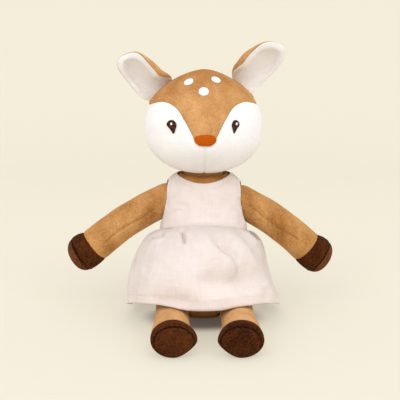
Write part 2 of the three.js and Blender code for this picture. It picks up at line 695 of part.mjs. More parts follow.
// Tail: a small pad of two panels that hangs behind the body under the skirt
function buildTail() {
  const surface = bodyMiddleAt(tailRootHeight) + bodyRadiusAt(tailRootHeight) * bodyDepthShare;
  const root = new THREE.Vector3(0, surface + tailRollRadius + stitchLift, tailRootHeight);
  const panel = (outside) => pad((across, along, top) => {
    const edge = Math.min(1, Math.hypot(across, along));
    const thick = tailPanel * (0.4 + 0.6 * Math.sqrt(1 - edge ** 2));
    const offset = outside ? seamGap / 2 + top * thick : -seamGap / 2 - (1 - top) * thick;
    return [(across * tailWidth) / 2, offset, (-(1 + along) * tailLength) / 2];
  }, 3, 12);
  const roll = (grow) => solid(new THREE.CapsuleGeometry(tailRollRadius + grow, tailWidth / 2, 2, 8).rotateZ(Math.PI / 2));
  const matrix = chain(shift(root), turn([1, 0, 0], radians(tailOutDegrees)));
  add('tail_top', moved(largest(panel(true).add(roll(0))), matrix), colours.tan);
  add('tail_underside', moved(largest(panel(false).subtract(roll(seamGap))), matrix), colours.white);
}

// Dress: a bodice of three panels that buttons at the back, and a gathered skirt

function armholes() {
  const reach = shoulderSide + overrun;
  return sides.map((side) => {
    const middle = shoulderPivot(side);
    const cutter = new THREE.CylinderGeometry(1, 1, reach, 28)
      .rotateZ(Math.PI / 2)
      .scale(1, armholeHalfDepth, armholeHalfHeight)
      .translate((side.sign * reach) / 2 + side.sign * bodyHalfWidth / 2, middle.y, middle.z + armholeRise);
    return solid(cutter);
  }).reduce((all, one) => all.add(one));
}

// The dress has side seams and opens along the middle of its back.
function addPanels(part, cloth) {
  add(`${part}_front`, largest(cloth.intersect(halfOf(true))), colours.cream);
  const far = bodyHeight + overrun;
  for (const { name, sign } of sides) {
    const low = new THREE.Vector3(sign > 0 ? seamGap / 2 : -far, -far, -far);
    const high = new THREE.Vector3(sign > 0 ? far : -seamGap / 2, far, far);
    add(`${part}_back_${name}`, largest(cloth.intersect(halfOf(false)).intersect(block(low, high))), colours.cream);
  }
}

function buildBodice() {
  const neckline = upright(
    new THREE.Vector3(0, neckPivot.y - necklineForward, 0), necklineRadius, shoulderHeight('left'), bodyHeight + overrun);
  const cloth = bodySurface(-seamGap - cotton).subtract(bodySurface(-seamGap))
    .intersect(above(waistHeight, waistTiltShare))
    .subtract(neckline)
    .subtract(armholes())
    .subtract(limbRooms);
  addPanels('bodice', cloth);
}

// A point of the skirt: angle round the toy from +X, and a drop from 0 at the waist to 1 at the hem.
function skirtPoint(angle, drop) {
  const [c, s] = [Math.cos(angle), Math.sin(angle)];
  const fuller = (value) => Math.sign(value) * Math.abs(value) ** skirtCornerShare;
  const waistRadius = bodyRadiusAt(waistHeight) + seamGap + cotton * 0.75;
  const waist = new THREE.Vector3(waistRadius * c, waistRadius * bodyDepthShare * s + bodyMiddleAt(waistHeight), 0);
  waist.z = waistHeight - waistTiltShare * (waist.y - bodyMiddleAt(waistHeight)) - seamGap;
  const thigh = 1 - (1 - Math.min(1, Math.max(0, -s) / thighShare)) ** hemRisePower;
  const hem = new THREE.Vector3(skirtHalfWidth * fuller(c), (s < 0 ? skirtFrontReach : skirtBackReach) * fuller(s), 0);
  hem.z = hemSideHeight + (hemThighHeight - hemSideHeight) * thigh - hemMiddleDip * smooth(-s, 0.93, 1)
    - (hemSideHeight - hemBackHeight) * smooth(s, 0.2, 0.9);
  const bell = (drop * Math.PI) / 2;
  const flare = Math.sin(bell);
  const height = Math.max(0, Math.cos(bell)) ** skirtBellShare;
  const fold = foldDepth * flare * (1 - thigh) * Math.cos(foldCount * angle);
  const point = new THREE.Vector3().lerpVectors(waist, hem, flare);
  point.x += fold * c - skirtHollow * smooth(c, 0.3, 1) * Math.sin(Math.PI * drop ** 2);
  point.y += fold * s;
  point.z = hem.z + height * (waist.z - hem.z);
  return point;
}

function buildSkirt() {
  const [sectors, rows] = [66, 7];
  const stepShare = 1e-3;
  const cloth = openShell((sector, row, inner) => {
    const angle = (2 * Math.PI * sector) / sectors;
    const drop = row / rows;
    const point = skirtPoint(angle, drop);
    const round1 = skirtPoint(angle + stepShare, drop).sub(skirtPoint(angle - stepShare, drop));
    const down = skirtPoint(angle, Math.min(1, drop + stepShare)).sub(skirtPoint(angle, Math.max(0, drop - stepShare)));
    const out = down.cross(round1).normalize();
    return point.addScaledVector(out, -inner * cotton).toArray();
  }, sectors, rows);
  addPanels('skirt', cloth);
}

function buildButtons() {
  for (const [name, drop] of Object.entries(buttonDrops)) {
    const height = bodyHeight - drop;
    const step = buttonRadius;
    const surfaceAt = (z) => bodyMiddleAt(z) + (bodyRadiusAt(z) + seamGap + cotton) * bodyDepthShare;
    const slope = Math.atan2(surfaceAt(height + step) - surfaceAt(height - step), 2 * step);
    const place = (lift) => chain(
      shift(new THREE.Vector3(0, surfaceAt(height) + lift, height)), turn([1, 0, 0], -Math.PI / 2 - slope));
    const profile = [[0, 0], [buttonRadius - buttonRim, 0], [buttonRadius, buttonRim],
      [buttonRadius, buttonThickness - buttonRim], [buttonRadius - buttonRim, buttonThickness], [0, buttonThickness]];
    const lift = stitchLift * 2 + loopThread * 2;
    add(`button_${name}`, moved(solid(turned(profile, 20)), place(lift)), colours.thread, 0.4);
    const loop = solid(new THREE.TorusGeometry(buttonRadius - loopThread, loopThread, 5, 14));
    add(`button_loop_${name}`, moved(loop, place(lift - loopThread - loopLift)), colours.cream);
  }
}

// Put together
buildHead();
buildFace();
sides.forEach(buildEar);
buildNeck();
buildBody();
sides.forEach((side) => addLimb('arm', side, armSizes(side), armShape(side), armMatrix(side)));
sides.forEach((side) => addLimb('leg', side, legSizes, legShape, legMatrix(side)));
buildTail();
buildBodice();
buildSkirt();
buildButtons();

toy.updateMatrixWorld(true);
const box = new THREE.Box3().setFromObject(toy);
toy.position.set(-(box.min.x + box.max.x) / 2, -(box.min.y + box.max.y) / 2, -box.min.z);

export default toy;
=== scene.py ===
# %% [markdown]
# # A plush fawn in a sleeveless dress
# The toy sits on the floor: a round head with cupped ears, four stuffed limbs that end in dark hooves, and a
# gathered cotton dress. Its solids come ready made and fixed in place. This lesson sews the soft skins over them,
# gives every fabric its pile, weave or stitches, and sets up the light and the camera.

# %% The fixed solids
import math

import bmesh
import bpy
from mathutils import Matrix, Vector, bvhtree, kdtree, noise


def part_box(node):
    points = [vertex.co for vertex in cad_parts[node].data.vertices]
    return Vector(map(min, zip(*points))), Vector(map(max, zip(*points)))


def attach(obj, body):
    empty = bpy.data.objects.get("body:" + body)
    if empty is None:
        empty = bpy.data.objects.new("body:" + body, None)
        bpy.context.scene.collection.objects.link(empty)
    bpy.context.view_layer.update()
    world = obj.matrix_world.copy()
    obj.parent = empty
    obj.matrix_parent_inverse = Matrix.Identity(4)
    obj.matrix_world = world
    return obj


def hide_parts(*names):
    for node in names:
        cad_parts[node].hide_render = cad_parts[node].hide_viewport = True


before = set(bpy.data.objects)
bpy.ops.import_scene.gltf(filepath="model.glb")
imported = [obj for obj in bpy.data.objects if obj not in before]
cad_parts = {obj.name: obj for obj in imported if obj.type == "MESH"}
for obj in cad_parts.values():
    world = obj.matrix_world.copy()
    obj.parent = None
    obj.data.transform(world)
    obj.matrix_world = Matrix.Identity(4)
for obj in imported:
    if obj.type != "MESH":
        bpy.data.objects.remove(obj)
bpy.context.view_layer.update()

# %% [markdown]
# ## The toy's own measures
# All measures below are in millimetres and in the toy's own frame, whose origin lies in the middle of the seat.
# The toy leans back a little, so the middle of its body moves back with height. The round neck tells where the
# toy's own frame lies in the row's frame. FAR_AWAY is further out than any seam or opening reaches.

# %% The toy's own frame
MM = 0.001
BODY_HEIGHT = 127.5
NECK_HEIGHT = 133.0
FAR_AWAY = 50
SIDES = {"left": 1, "right": -1}


def body_middle(height):
    """How far back the middle of the body is at a height."""
    return -8 + 0.15 * height


neck_low, neck_high = (Vector(corner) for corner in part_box("neck"))
NECK_PIVOT = Vector((0, body_middle(NECK_HEIGHT), NECK_HEIGHT))
seat = (neck_low + neck_high) / 2 - NECK_PIVOT * MM
seat.z = 0
TO_ROW = Matrix.Translation(seat) @ Matrix.Scale(MM, 4)
print("the toy's frame stands at", [round(value, 5) for value in seat])

# %% [markdown]
# ## The camera
# A photograph of a small toy is taken from a step away, a little above it, with a long lens. With the camera known,
# any crease that the photograph shows can be put at its place in the picture: each point of a skin is first seen
# through the camera, and then compared with the crease.

# %% The camera
EYE = Vector((0, -650, 222))
AIM = Vector((0, 0, 103))
PICTURE, SENSOR = 400, 36
FOCAL_PIXELS = 731
CENTRE_PIXELS = (203.5, 200)
AHEAD = (AIM - EYE).normalized()
ACROSS = AHEAD.cross(Vector((0, 0, 1))).normalized()
UPWARD = ACROSS.cross(AHEAD)

camera = bpy.data.objects.new("camera", bpy.data.cameras.new("camera"))
bpy.context.scene.collection.objects.link(camera)
camera.location = TO_ROW @ EYE
camera.rotation_euler = AHEAD.to_track_quat("-Z", "Y").to_euler()
camera.data.sensor_width = SENSOR
camera.data.lens = SENSOR * FOCAL_PIXELS / PICTURE
camera.data.shift_x = (PICTURE / 2 - CENTRE_PIXELS[0]) / PICTURE
camera.data.clip_start = 0.01
bpy.context.scene.camera = camera


def seen_at(point):
    """Where the camera sees a point of the toy, in pixels of the picture."""
    way = point - EYE
    far = way.dot(AHEAD)
    return Vector((
        CENTRE_PIXELS[0] + FOCAL_PIXELS * way.dot(ACROSS) / far,
        CENTRE_PIXELS[1] - FOCAL_PIXELS * way.dot(UPWARD) / far,
    ))


# %% [markdown]
# ## Small curves
# A seam line or a body's profile is drawn with a few points. A smooth curve through them is a Catmull-Rom spline:
# it passes through each point in the direction from the one before to the one after.

# %% Curves and steps


def smoothstep(value, low, high):
    """0 below low, 1 above high, and a smooth rise between them."""
    share = min(1, max(0, (value - low) / (high - low)))
    return share * share * (3 - 2 * share)


def curve_through(points, steps):
    """A smooth curve through points, with a number of steps between each two."""
    points = [Vector(point) for point in points]
    line = []
    for i, (start, end) in enumerate(zip(points, points[1:])):
        before = points[max(i - 1, 0)]
        after = points[min(i + 2, len(points) - 1)]
        for step in range(steps):
            t = step / steps
            line.append(0.5 * (
                2 * start + (end - before) * t + (2 * before - 5 * start + 4 * end - after) * t**2
                + (3 * start - before - 3 * end + after) * t**3
            ))
    return line + [points[-1]]


def nearest_on_line(point, line):
    """(distance from a point to a line of points, share of the line's length there)."""
    best, at, run = 1e9, 0, 0
    lengths = [(b - a).length for a, b in zip(line, line[1:])]
    total = sum(lengths)
    for (a, b), length in zip(zip(line, line[1:]), lengths):
        way = b - a
        t = min(1, max(0, (point - a).dot(way) / max(way.dot(way), 1e-9)))
        distance = (a + way * t - point).length
        if distance < best:
            best, at = distance, (run + t * length) / total
        run += length
    return best, at


# %% [markdown]
# ## Fabrics as sums
# A finish is a tree of nodes. Written as nodes, a sum such as *pile + 0.5 * nap* takes several lines each, so one
# small class wraps a node's output and turns Python's signs into Math nodes. What several fabrics need, such as a
# tone between two colours, is a method of the finish.

# %% A finish written as sums


def colour_of(red, green, blue):
    """A colour as seen on a screen, 0 to 255, as the shader wants it."""
    return (*(((part / 255 + 0.055) / 1.055) ** 2.4 for part in (red, green, blue)), 1)


class Wire:
    """An output of a node, to be used in sums."""

    def __init__(self, finish, socket):
        self.finish = finish
        self.socket = socket

    def maths(self, operation, *values):
        return self.finish.node("ShaderNodeMath", {"operation": operation}, values)

    def __add__(self, other):
        return self.maths("ADD", self, other)

    def __sub__(self, other):
        return self.maths("SUBTRACT", self, other)

    def __rsub__(self, other):
        return self.maths("SUBTRACT", other, self)

    def __mul__(self, other):
        return self.maths("MULTIPLY", self, other)

    __radd__ = __add__
    __rmul__ = __mul__


class Finish:
    """A material that grows node by node. Colours are given as seen on a screen."""

    def __init__(self, name):
        self.material = bpy.data.materials.new(name)
        self.material.use_nodes = True
        self.tree = self.material.node_tree
        self.tree.nodes.clear()

    def node(self, kind, settings=None, sockets=(), out=0):
        made = self.tree.nodes.new(kind)
        for name, value in (settings or {}).items():
            setattr(made, name, value)
        pairs = sockets.items() if isinstance(sockets, dict) else enumerate(sockets)
        for place, value in pairs:
            if isinstance(value, Wire):
                self.tree.links.new(value.socket, made.inputs[place])
            else:
                made.inputs[place].default_value = value
        return Wire(self, made.outputs[out]) if made.outputs else None

    def place(self):
        """Where a point lies on the toy at rest, in metres."""
        return self.node("ShaderNodeTexCoord", out=3)

    def mixed(self, share, first, second):
        """One colour where share is 0 and the other where it is 1."""
        first, second = (colour_of(*colour) if isinstance(colour, tuple) else colour for colour in (first, second))
        return self.node("ShaderNodeMix", {"data_type": "RGBA"}, {0: share, 6: first, 7: second}, out=2)

    def toned(self, shade, plain_share, colour, deep, light):
        """A tone from deep to light as the shade goes from 0 to 1, with a share of the plain colour."""
        held = self.node("ShaderNodeClamp", {}, [shade])
        return self.mixed(plain_share, self.mixed(held, deep, light), colour)

    def speckle(self, place, scale, detail=2, grain=0.5, distortion=0):
        """Noise of a size: scale is in specks per unit of place."""
        sockets = {"Vector": place, "Scale": scale, "Detail": detail, "Roughness": grain, "Distortion": distortion}
        return self.node("ShaderNodeTexNoise", {}, sockets)

    def stretched(self, place, scale, turn=(0, 0, 0)):
        """A place whose axes are turned and scaled, so that a pattern on it gets longer one way."""
        return self.node("ShaderNodeMapping", {}, {"Vector": place, "Scale": scale, "Rotation": turn})

    def smooth_range(self, value, low, high):
        """A smooth rise from 0 to 1 while a value goes from low to high."""
        return self.node("ShaderNodeMapRange", {"interpolation_type": "SMOOTHSTEP"}, {
            "Value": value, "From Min": low, "From Max": high})

    def surface(self, colour, roughness, height=None, relief=None, **constants):
        """The shader: colour and roughness may vary, the constants are the same all over. Relief is in metres."""
        sockets = {"Base Color": colour, "Roughness": roughness, **constants}
        if height is not None:
            sockets["Normal"] = self.node("ShaderNodeBump", {}, {"Height": height, "Distance": relief})
        shader = self.node("ShaderNodeBsdfPrincipled", {}, sockets)
        self.node("ShaderNodeOutputMaterial", {}, {"Surface": shader})
        return self


# %% [markdown]
# ## Pile fabric
# The skins are a short pile that has been stroked: its fibres lie in soft patches, lighter where they lean to the
# light and deeper where they lean away, with fine grain on top. A long noise gives the strokes, a finer one the
# clumps of fibre, and the finest the single tufts. Sheen stands for the fibre tips that catch the light at the edges.
# The filling inside is loose white fibre, and needs only one noise.

# %% Pile fabric
PILE_RELIEF = 0.0012
CROWN_PAINTED_SHADE = 0.42


def pile_fabric(name, colour, deep, light, strokes, sheen, tufts, crown=None):
    """Pile of three tones. From the crown's first height to its second, in metres, it gets deeper: painted shade on the
    top of the head.
    """
    finish = Finish(name)
    place = finish.place()
    stroked = finish.speckle(finish.stretched(place, (1, 1, 0.45), (0.15, 0.1, 0.1)), 60)
    clumps = finish.speckle(place, 480, detail=3, grain=0.6)
    fibres = finish.speckle(place, 1300, grain=0.7)
    nap_and_painted_shade = 0.5 + strokes * (stroked - 0.5) + tufts * (1.1 * (clumps - 0.5) + 1.4 * (fibres - 0.5))
    # painted shade: the tan darkens towards the top of the head
    if crown:
        upright = finish.node("ShaderNodeSeparateXYZ", {}, [place], out=2)
        nap_and_painted_shade = nap_and_painted_shade - CROWN_PAINTED_SHADE * finish.smooth_range(upright, *crown)
    tone = finish.toned(nap_and_painted_shade, 0.35, colour, deep, light)
    height = clumps * 0.7 + fibres * 0.6 + stroked * 0.5
    return finish.surface(tone, 0.82 + 0.15 * fibres, height, PILE_RELIEF, **{
        "Sheen Weight": sheen, "Sheen Roughness": 0.33, "Sheen Tint": colour_of(*light), "Specular IOR Level": 0.06,
    })


PAINTED_SHADE_HEIGHTS = (0.183, 0.214)
TAN_TONES = ((204, 147, 88), (160, 104, 52), (232, 182, 125))
TAN = pile_fabric("tan_pile", *TAN_TONES, 1.5, 0.2, 0.8)
# the head's tan, with painted shade on its top
TAN_CROWN_SHADED = pile_fabric("tan_pile_crown_painted_shade", *TAN_TONES, 1.5, 0.1, 0.8, PAINTED_SHADE_HEIGHTS)
# A paler copy of the tan for the legs: painted light, as their tops face the light.
TAN_LIT_LEGS = pile_fabric("tan_pile_legs_painted_light", (213, 157, 100), (170, 114, 64), (239, 192, 138), 1.5, 0.2, 0.8)
# A deeper copy of the tan for the neck and the body: painted shade, as the neck lies in the chin's shadow.
TAN_SHADED = pile_fabric("tan_pile_painted_shade", (171, 114, 56), (130, 77, 28), (205, 149, 88), 1.5, 0.1, 0.8)
# A deeper copy of the tan for the arms: painted shade, with a strong sheen at the edges.
TAN_SHADED_ARMS = pile_fabric("tan_pile_arms_painted_shade", (181, 124, 66), (134, 81, 32), (219, 168, 108), 2.0, 0.9, 1.0)
WHITE = pile_fabric("white_pile", (252, 249, 247), (238, 231, 228), (255, 254, 253), 0.7, 0.1, 0.5)
BROWN = pile_fabric("hoof_pile", (58, 25, 4), (30, 10, 0), (104, 56, 24), 1.8, 0.55, 1.7)
# A paler copy of the hoof brown for the arms' pads: painted light, as they catch the light at a slant.
BROWN_LIT_PADS = pile_fabric("hoof_pile_pads_painted_light", (80, 42, 20), (46, 18, 5), (128, 78, 46), 1.8, 0.7, 1.7)

# %% Filling fibre


def speckled(name, first, second, roughness, relief, scale, **noise_settings):
    """A plain stuff whose tone and relief follow one noise."""
    finish = Finish(name)
    specks = finish.speckle(finish.place(), scale, **noise_settings)
    return finish.surface(finish.mixed(specks, first, second), roughness, specks, relief)


FIBRE = speckled("fibre_filling", (226, 222, 214), (250, 249, 246), 0.95, 0.002, 300,
                 detail=4, grain=0.7, distortion=1.5)

# %% [markdown]
# ## Woven cotton
# The dress is a thin plain weave. Its cloth pieces carry their own map, laid out in millimetres, so that the
# threads follow the cloth: two waves at right angles make the weave, noise makes some threads thicker, and a
# broad, faint noise gives the crumples that ironing leaves.

# %% Woven cotton
THREADS_PER_MM = 1.9
WEAVE_RELIEF = 0.001


def woven_cotton(name, colour, deep, light):
    """A plain weave of uneven threads, with crumples."""
    finish = Finish(name)
    cloth = finish.node("ShaderNodeUVMap", {"uv_map": "cloth"})
    threads, uneven = [], []
    for direction, stretch in (("X", (0.9, 0.04, 1)), ("Y", (0.04, 0.9, 1))):
        uneven.append(finish.speckle(finish.stretched(cloth, stretch), 1))
        waves = finish.node("ShaderNodeTexWave", {
            "wave_type": "BANDS", "wave_profile": "SIN", "bands_direction": direction,
        }, {"Vector": cloth, "Scale": THREADS_PER_MM / 3}, 1)
        threads.append(waves * (0.6 + 0.4 * uneven[-1]))
    weave = threads[0] + threads[1]
    slub = uneven[0] * 0.5 + uneven[1] * 0.5
    crumple = finish.speckle(cloth, 0.07, detail=4, grain=0.55, distortion=0.8)
    shade = 0.5 + 1.1 * (crumple - 0.5) + 1.4 * (slub - 0.5) + 0.16 * (weave - 1)
    height = weave * 0.16 + crumple * 1.6 + slub * 0.25
    return finish.surface(finish.toned(shade, 0.4, colour, deep, light), 0.9, height, WEAVE_RELIEF, **{
        "Sheen Weight": 0.12, "Sheen Roughness": 0.5, "Specular IOR Level": 0.25,
    })


COTTON = woven_cotton("dress_cotton", (243, 228, 219), (228, 209, 199), (250, 240, 234))

# %% [markdown]
# ## Embroidery and thread
# The face is filled with satin stitches: rows of thread side by side, with a slight gloss along each. A wave gives
# the rows. Loose thread, such as the hem's stitches, is a twisted cord, so its wave runs across it.

# %% Embroidery
THREAD_RELIEF = 0.0003


def stitched(name, colour, deep, light, direction, pitch, rough=0.5):
    """Rows of thread side by side. A smaller pitch sets them closer."""
    finish = Finish(name)
    place = finish.place()
    rows = finish.node("ShaderNodeTexWave", {"wave_type": "BANDS", "bands_direction": direction}, {
        "Vector": place, "Scale": 1000 / pitch / 20 * math.pi, "Distortion": 0.6, "Detail": 1, "Detail Scale": 2}, 1)
    uneven = finish.speckle(place, 900)
    tone = finish.toned(rows * 0.75 + (uneven - 0.4), 0.35, colour, deep, light)
    height = rows * 0.7 + uneven * 0.3
    return finish.surface(tone, rough + 0.2 * uneven, height, THREAD_RELIEF, **{"Specular IOR Level": 0.06})


DARK_THREAD = stitched("dark_thread", (44, 24, 14), (16, 8, 4), (98, 62, 42), "DIAGONAL", 0.9)
SEAM_SHADE_CORD = stitched("seam_thread", (30, 12, 4), (12, 4, 0), (58, 28, 12), "DIAGONAL", 1.2, 0.8)
WHITE_THREAD = stitched("white_thread", (248, 249, 253), (214, 221, 236), (255, 255, 255), "X", 0.8)
ORANGE_THREAD = stitched("orange_thread", (186, 80, 0), (142, 48, 0), (210, 108, 2), "Z", 0.8)
CREAM_THREAD = stitched("cream_thread", (244, 230, 220), (222, 202, 190), (252, 242, 235), "X", 0.6, 0.7)

# %% [markdown]
# ## Making, cutting and finishing a skin
# Every skin starts as a plain form, such as a sphere or a turned profile, and each of its points is then moved to
# its place by a function. Where two panels meet, the form is cut along the seam: each edge that the seam crosses is
# split there, and the new points are joined across the faces.

# %% Making and cutting
ON_SEAM = 0.03
NEAR_END = 0.12
SEAM_MERGE = 0.2


def sphere(fineness):
    form = bmesh.new()
    bmesh.ops.create_icosphere(form, subdivisions=fineness, radius=1)
    return form


def turned(profile, steps):
    """A profile of (radius, height) points, from pole to pole, spun round the upright axis."""
    form = bmesh.new()
    line = [form.verts.new((radius, 0, height)) for radius, height in profile]
    edges = [form.edges.new(pair) for pair in zip(line, line[1:])]
    bmesh.ops.spin(
        form, geom=line + edges, axis=(0, 0, 1), cent=(0, 0, 0), steps=steps, angle=2 * math.pi, use_merge=True)
    bmesh.ops.remove_doubles(form, verts=form.verts, dist=1e-3)
    bmesh.ops.recalc_face_normals(form, faces=form.faces)
    return form


def reshape(form, place):
    for vert in form.verts:
        vert.co = place(vert.co)
    form.normal_update()
    return form


def split(form, at, normal):
    """Cuts a form along a plane."""
    whole = [*form.verts, *form.edges, *form.faces]
    bmesh.ops.bisect_plane(form, geom=whole, dist=0.05, plane_co=at, plane_no=normal)


def cut_along(form, side_of):
    """Cuts a form where side_of(point) passes zero, and gives each point's side. A second pass cuts what was missed."""
    for _ in range(2):
        side = {vert: side_of(vert.co) for vert in form.verts}
        side = {vert: value if abs(value) > ON_SEAM else 0 for vert, value in side.items()}
        for edge in list(form.edges):
            a, b = edge.verts
            if side[a] * side[b] >= 0:
                continue
            share = side[a] / (side[a] - side[b])
            near, t = (a, share) if share < 0.5 else (b, 1 - share)
            if t < NEAR_END:
                near.co = a.co.lerp(b.co, share)
                side[near] = 0
            else:
                _, vert = bmesh.utils.edge_split(edge, a, share)
                side[vert] = 0
        crossed = [vert for vert, value in side.items() if value == 0]
        bmesh.ops.connect_verts(form, verts=crossed, check_degenerate=False)
        bmesh.ops.remove_doubles(form, verts=crossed, dist=SEAM_MERGE)
    return side


def keep_side(form, side_of):
    """Cuts a form and keeps only what lies where side_of is positive."""
    side = cut_along(form, side_of)
    gone = [face for face in form.faces if sum(side[vert] for vert in face.verts) < 0]
    bmesh.ops.delete(form, geom=gone, context="FACES")


def trim(form):
    """Leaves out loose points and slivers, and keeps the faces pointing the same way."""
    bmesh.ops.remove_doubles(form, verts=form.verts, dist=0.05)
    loose = [vert for vert in form.verts if not vert.link_faces]
    bmesh.ops.delete(form, geom=loose, context="VERTS")
    form.normal_update()


def panel_of(form, belongs):
    """A copy of those faces of a cut form that belong to one panel."""
    panel = form.copy()
    gone = [face for face in panel.faces if not belongs(face)]
    bmesh.ops.delete(panel, geom=gone, context="FACES")
    trim(panel)
    return panel


def move_out(form, amount_at):
    """Moves each point along its own normal, all at once, by the amount found for it."""
    form.normal_update()
    moves = [(vert, vert.normal * amount_at(vert)) for vert in form.verts]
    for vert, move in moves:
        vert.co += move
    form.normal_update()


def draw_in(form, depth, width, along=None):
    """Draws a skin in along its open edges, or along the points given, as a seam does."""
    rim = along or [vert.co.copy() for vert in form.verts if vert.is_boundary]
    tree = kdtree.KDTree(len(rim))
    for i, point in enumerate(rim):
        tree.insert(point, i)
    tree.balance()

    def amount_at(vert):
        distance = tree.find(vert.co)[2]
        return -depth * math.exp(-((distance / width) ** 2)) if distance < 3 * width else 0

    move_out(form, amount_at)


# %% [markdown]
# Stuffing is never quite even. A slow noise moves each skin in and out by a fraction of a millimetre, so that the
# light runs over it as over a filled toy and not as over a ball. Creases are pressed in one by one, each along a line
# in the picture: a positive depth makes a valley, a negative one a ridge.

# %% Lumps and creases


def lumps(form, size, depth, seed):
    """Moves a skin in and out by a slow noise, as uneven filling does."""
    shift = Vector((seed, seed * 1.7, -seed))
    move_out(form, lambda vert: noise.noise(vert.co / size + shift) * depth)


def press(form, creases, facing=-0.1):
    """Presses creases into the side that faces the camera. Each is (pixels of its line, width in pixels, depth)."""
    lines = []
    for pixels, width, depth in creases:
        line = curve_through(pixels, 5) if len(pixels) > 2 else [Vector(pixel) for pixel in pixels]
        middle = sum(line, Vector((0, 0))) / len(line)
        reach = max((point - middle).length for point in line) + 3 * width
        lines.append((line, width, depth, middle, reach))

    def amount_at(vert):
        if vert.normal.dot(AHEAD) > facing:
            return 0
        pixel = seen_at(vert.co)
        move = 0
        for line, width, depth, middle, reach in lines:
            if (pixel - middle).length > reach:
                continue
            distance, at = nearest_on_line(pixel, line)
            if distance < 3 * width:
                ends = smoothstep(at, -0.02, 0.2) * (1 - smoothstep(at, 0.75, 1.02))
                move += depth * ends * math.exp(-((distance / width) ** 2))
        return -move

    move_out(form, amount_at)


# %% [markdown]
# A finished skin goes to its place in the row's frame, gets its fabric, and rides on its body. An open skin gets a
# wall on its inner side, and one level of subdivision rounds off all that isn't fine enough as it is.

# %% Finishing a skin


def as_object(form, name, fabric):
    """A smooth object at the origin, with its place in its mesh."""
    mesh = bpy.data.meshes.new(name)
    form.to_mesh(mesh)
    form.free()
    mesh.shade_smooth()
    mesh.materials.append(fabric.material)
    made = bpy.data.objects.new(name, mesh)
    bpy.context.scene.collection.objects.link(made)
    return made


def finish_skin(form, name, fabric, body, nodes, slot, wall=None, rounds=1):
    """Hands a form to its body. wall is its cloth's thickness in millimetres."""
    bmesh.ops.transform(form, matrix=TO_ROW, verts=form.verts)
    skin = as_object(form, name, fabric)
    if wall:
        thick = skin.modifiers.new("wall", "SOLIDIFY")
        thick.thickness = wall * MM
        thick.offset = -1
    if rounds:
        fine = skin.modifiers.new("rounding", "SUBSURF")
        fine.levels = rounds
        fine.render_levels = rounds
    if nodes:
        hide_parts(*nodes)
    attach(skin, body)
    print(name, len(skin.data.vertices), "points on", body)
    return skin


# %% [markdown]
# ## The head
# The head is one round form, wider than it is high. Its crown narrows to a blunt point, its lower half is fuller,
# and its front swells into a short muzzle. Each point of a sphere is a direction, and the function below says how
# far out the head is that way. The eyes' threads pull the skin in a little round them.

# %% The head's form
HEAD_WIDTH, HEAD_DEPTH = 106, 92
CROWN, JAW = 49.5, 41.3
HEAD_MIDDLE = Vector((0, 9, BODY_HEIGHT + 42.5))
HEAD_TURN = Matrix.Rotation(math.radians(1.5), 4, "Z")
HEAD_PLACE = Matrix.Translation(HEAD_MIDDLE) @ HEAD_TURN
NOSE_DROP = 8.5
NOSE_WAY = Vector((0, -HEAD_DEPTH / 2, -NOSE_DROP)).normalized()
MUZZLE, MUZZLE_SPREAD = 13, 0.13
JAW_ROUND, JAW_SAG = 0.84, 5
CROWN_POINT = 0.25
EYE_SIDE, EYE_RISE = 27, 2
DIMPLE_DEPTH, DIMPLE_WIDTH = 0.9, 6.5


def head_point(way):
    """The head's surface in a direction from its middle."""
    level = math.hypot(way.x, way.y)
    below = way.z < 0
    spread = level ** (JAW_ROUND - 1 if below else CROWN_POINT) if level > 1e-6 else 0
    muzzle = MUZZLE * math.exp((way.dot(NOSE_WAY) - 1) / MUZZLE_SPREAD)
    drop = abs(way.z) ** JAW_ROUND
    sag = JAW_SAG * drop * max(0, -way.y) * spread
    return Vector((
        HEAD_WIDTH / 2 * way.x * spread,
        HEAD_DEPTH / 2 * way.y * spread - muzzle,
        -JAW * drop - sag if below else CROWN * way.z,
    ))


def head_way(side, rise):
    """The direction to the point of the head's front with this side and rise."""
    way = Vector((side / HEAD_WIDTH, -1, rise / HEAD_WIDTH))
    for _ in range(12):
        way.normalize()
        point = head_point(way)
        way.x += (side - point.x) / HEAD_WIDTH
        way.z += (rise - point.z) / HEAD_WIDTH
    return way.normalized()


EYE_POINTS = [head_point(head_way(sign * EYE_SIDE, EYE_RISE)) for sign in SIDES.values()]


def dimpled(point):
    """The head's skin with the dimples that the eyes' threads pull."""
    pull = sum(math.exp(-((point - eye).length / DIMPLE_WIDTH) ** 2) for eye in EYE_POINTS)
    return point + Vector((0, DIMPLE_DEPTH * pull, 0))


# %% [markdown]
# Four seams divide the head: one runs over the head from side to side, one down the middle, and one on each side
# goes from the nose over the cheek, between the white and the tan. The cheek's seam is drawn as seen from the
# front. The panels are cut from one fine form, so they meet exactly, and each is drawn in along its seams.

# %% The head's panels
BACK_SEAM = 9
CHEEK_SEAM = curve_through([
    (wide * HEAD_WIDTH / 2, high * CROWN) for wide, high in (
        (0.1, -0.265), (0.165, -0.18), (0.25, 0), (0.345, 0.18), (0.45, 0.34), (0.575, 0.425), (0.715, 0.445),
        (0.885, 0.395), (0.985, 0.3), (1.1, 0.25))], 8)


def below_cheek_seam(point):
    """How far a point of the head's front lies below the seam over the cheek."""
    side = abs(point.x)
    if side <= CHEEK_SEAM[0].x:
        return CHEEK_SEAM[0].y - point.z
    for a, b in zip(CHEEK_SEAM, CHEEK_SEAM[1:]):
        if side <= b.x:
            return a.y + (b.y - a.y) * (side - a.x) / (b.x - a.x) - point.z
    return CHEEK_SEAM[-1].y - point.z


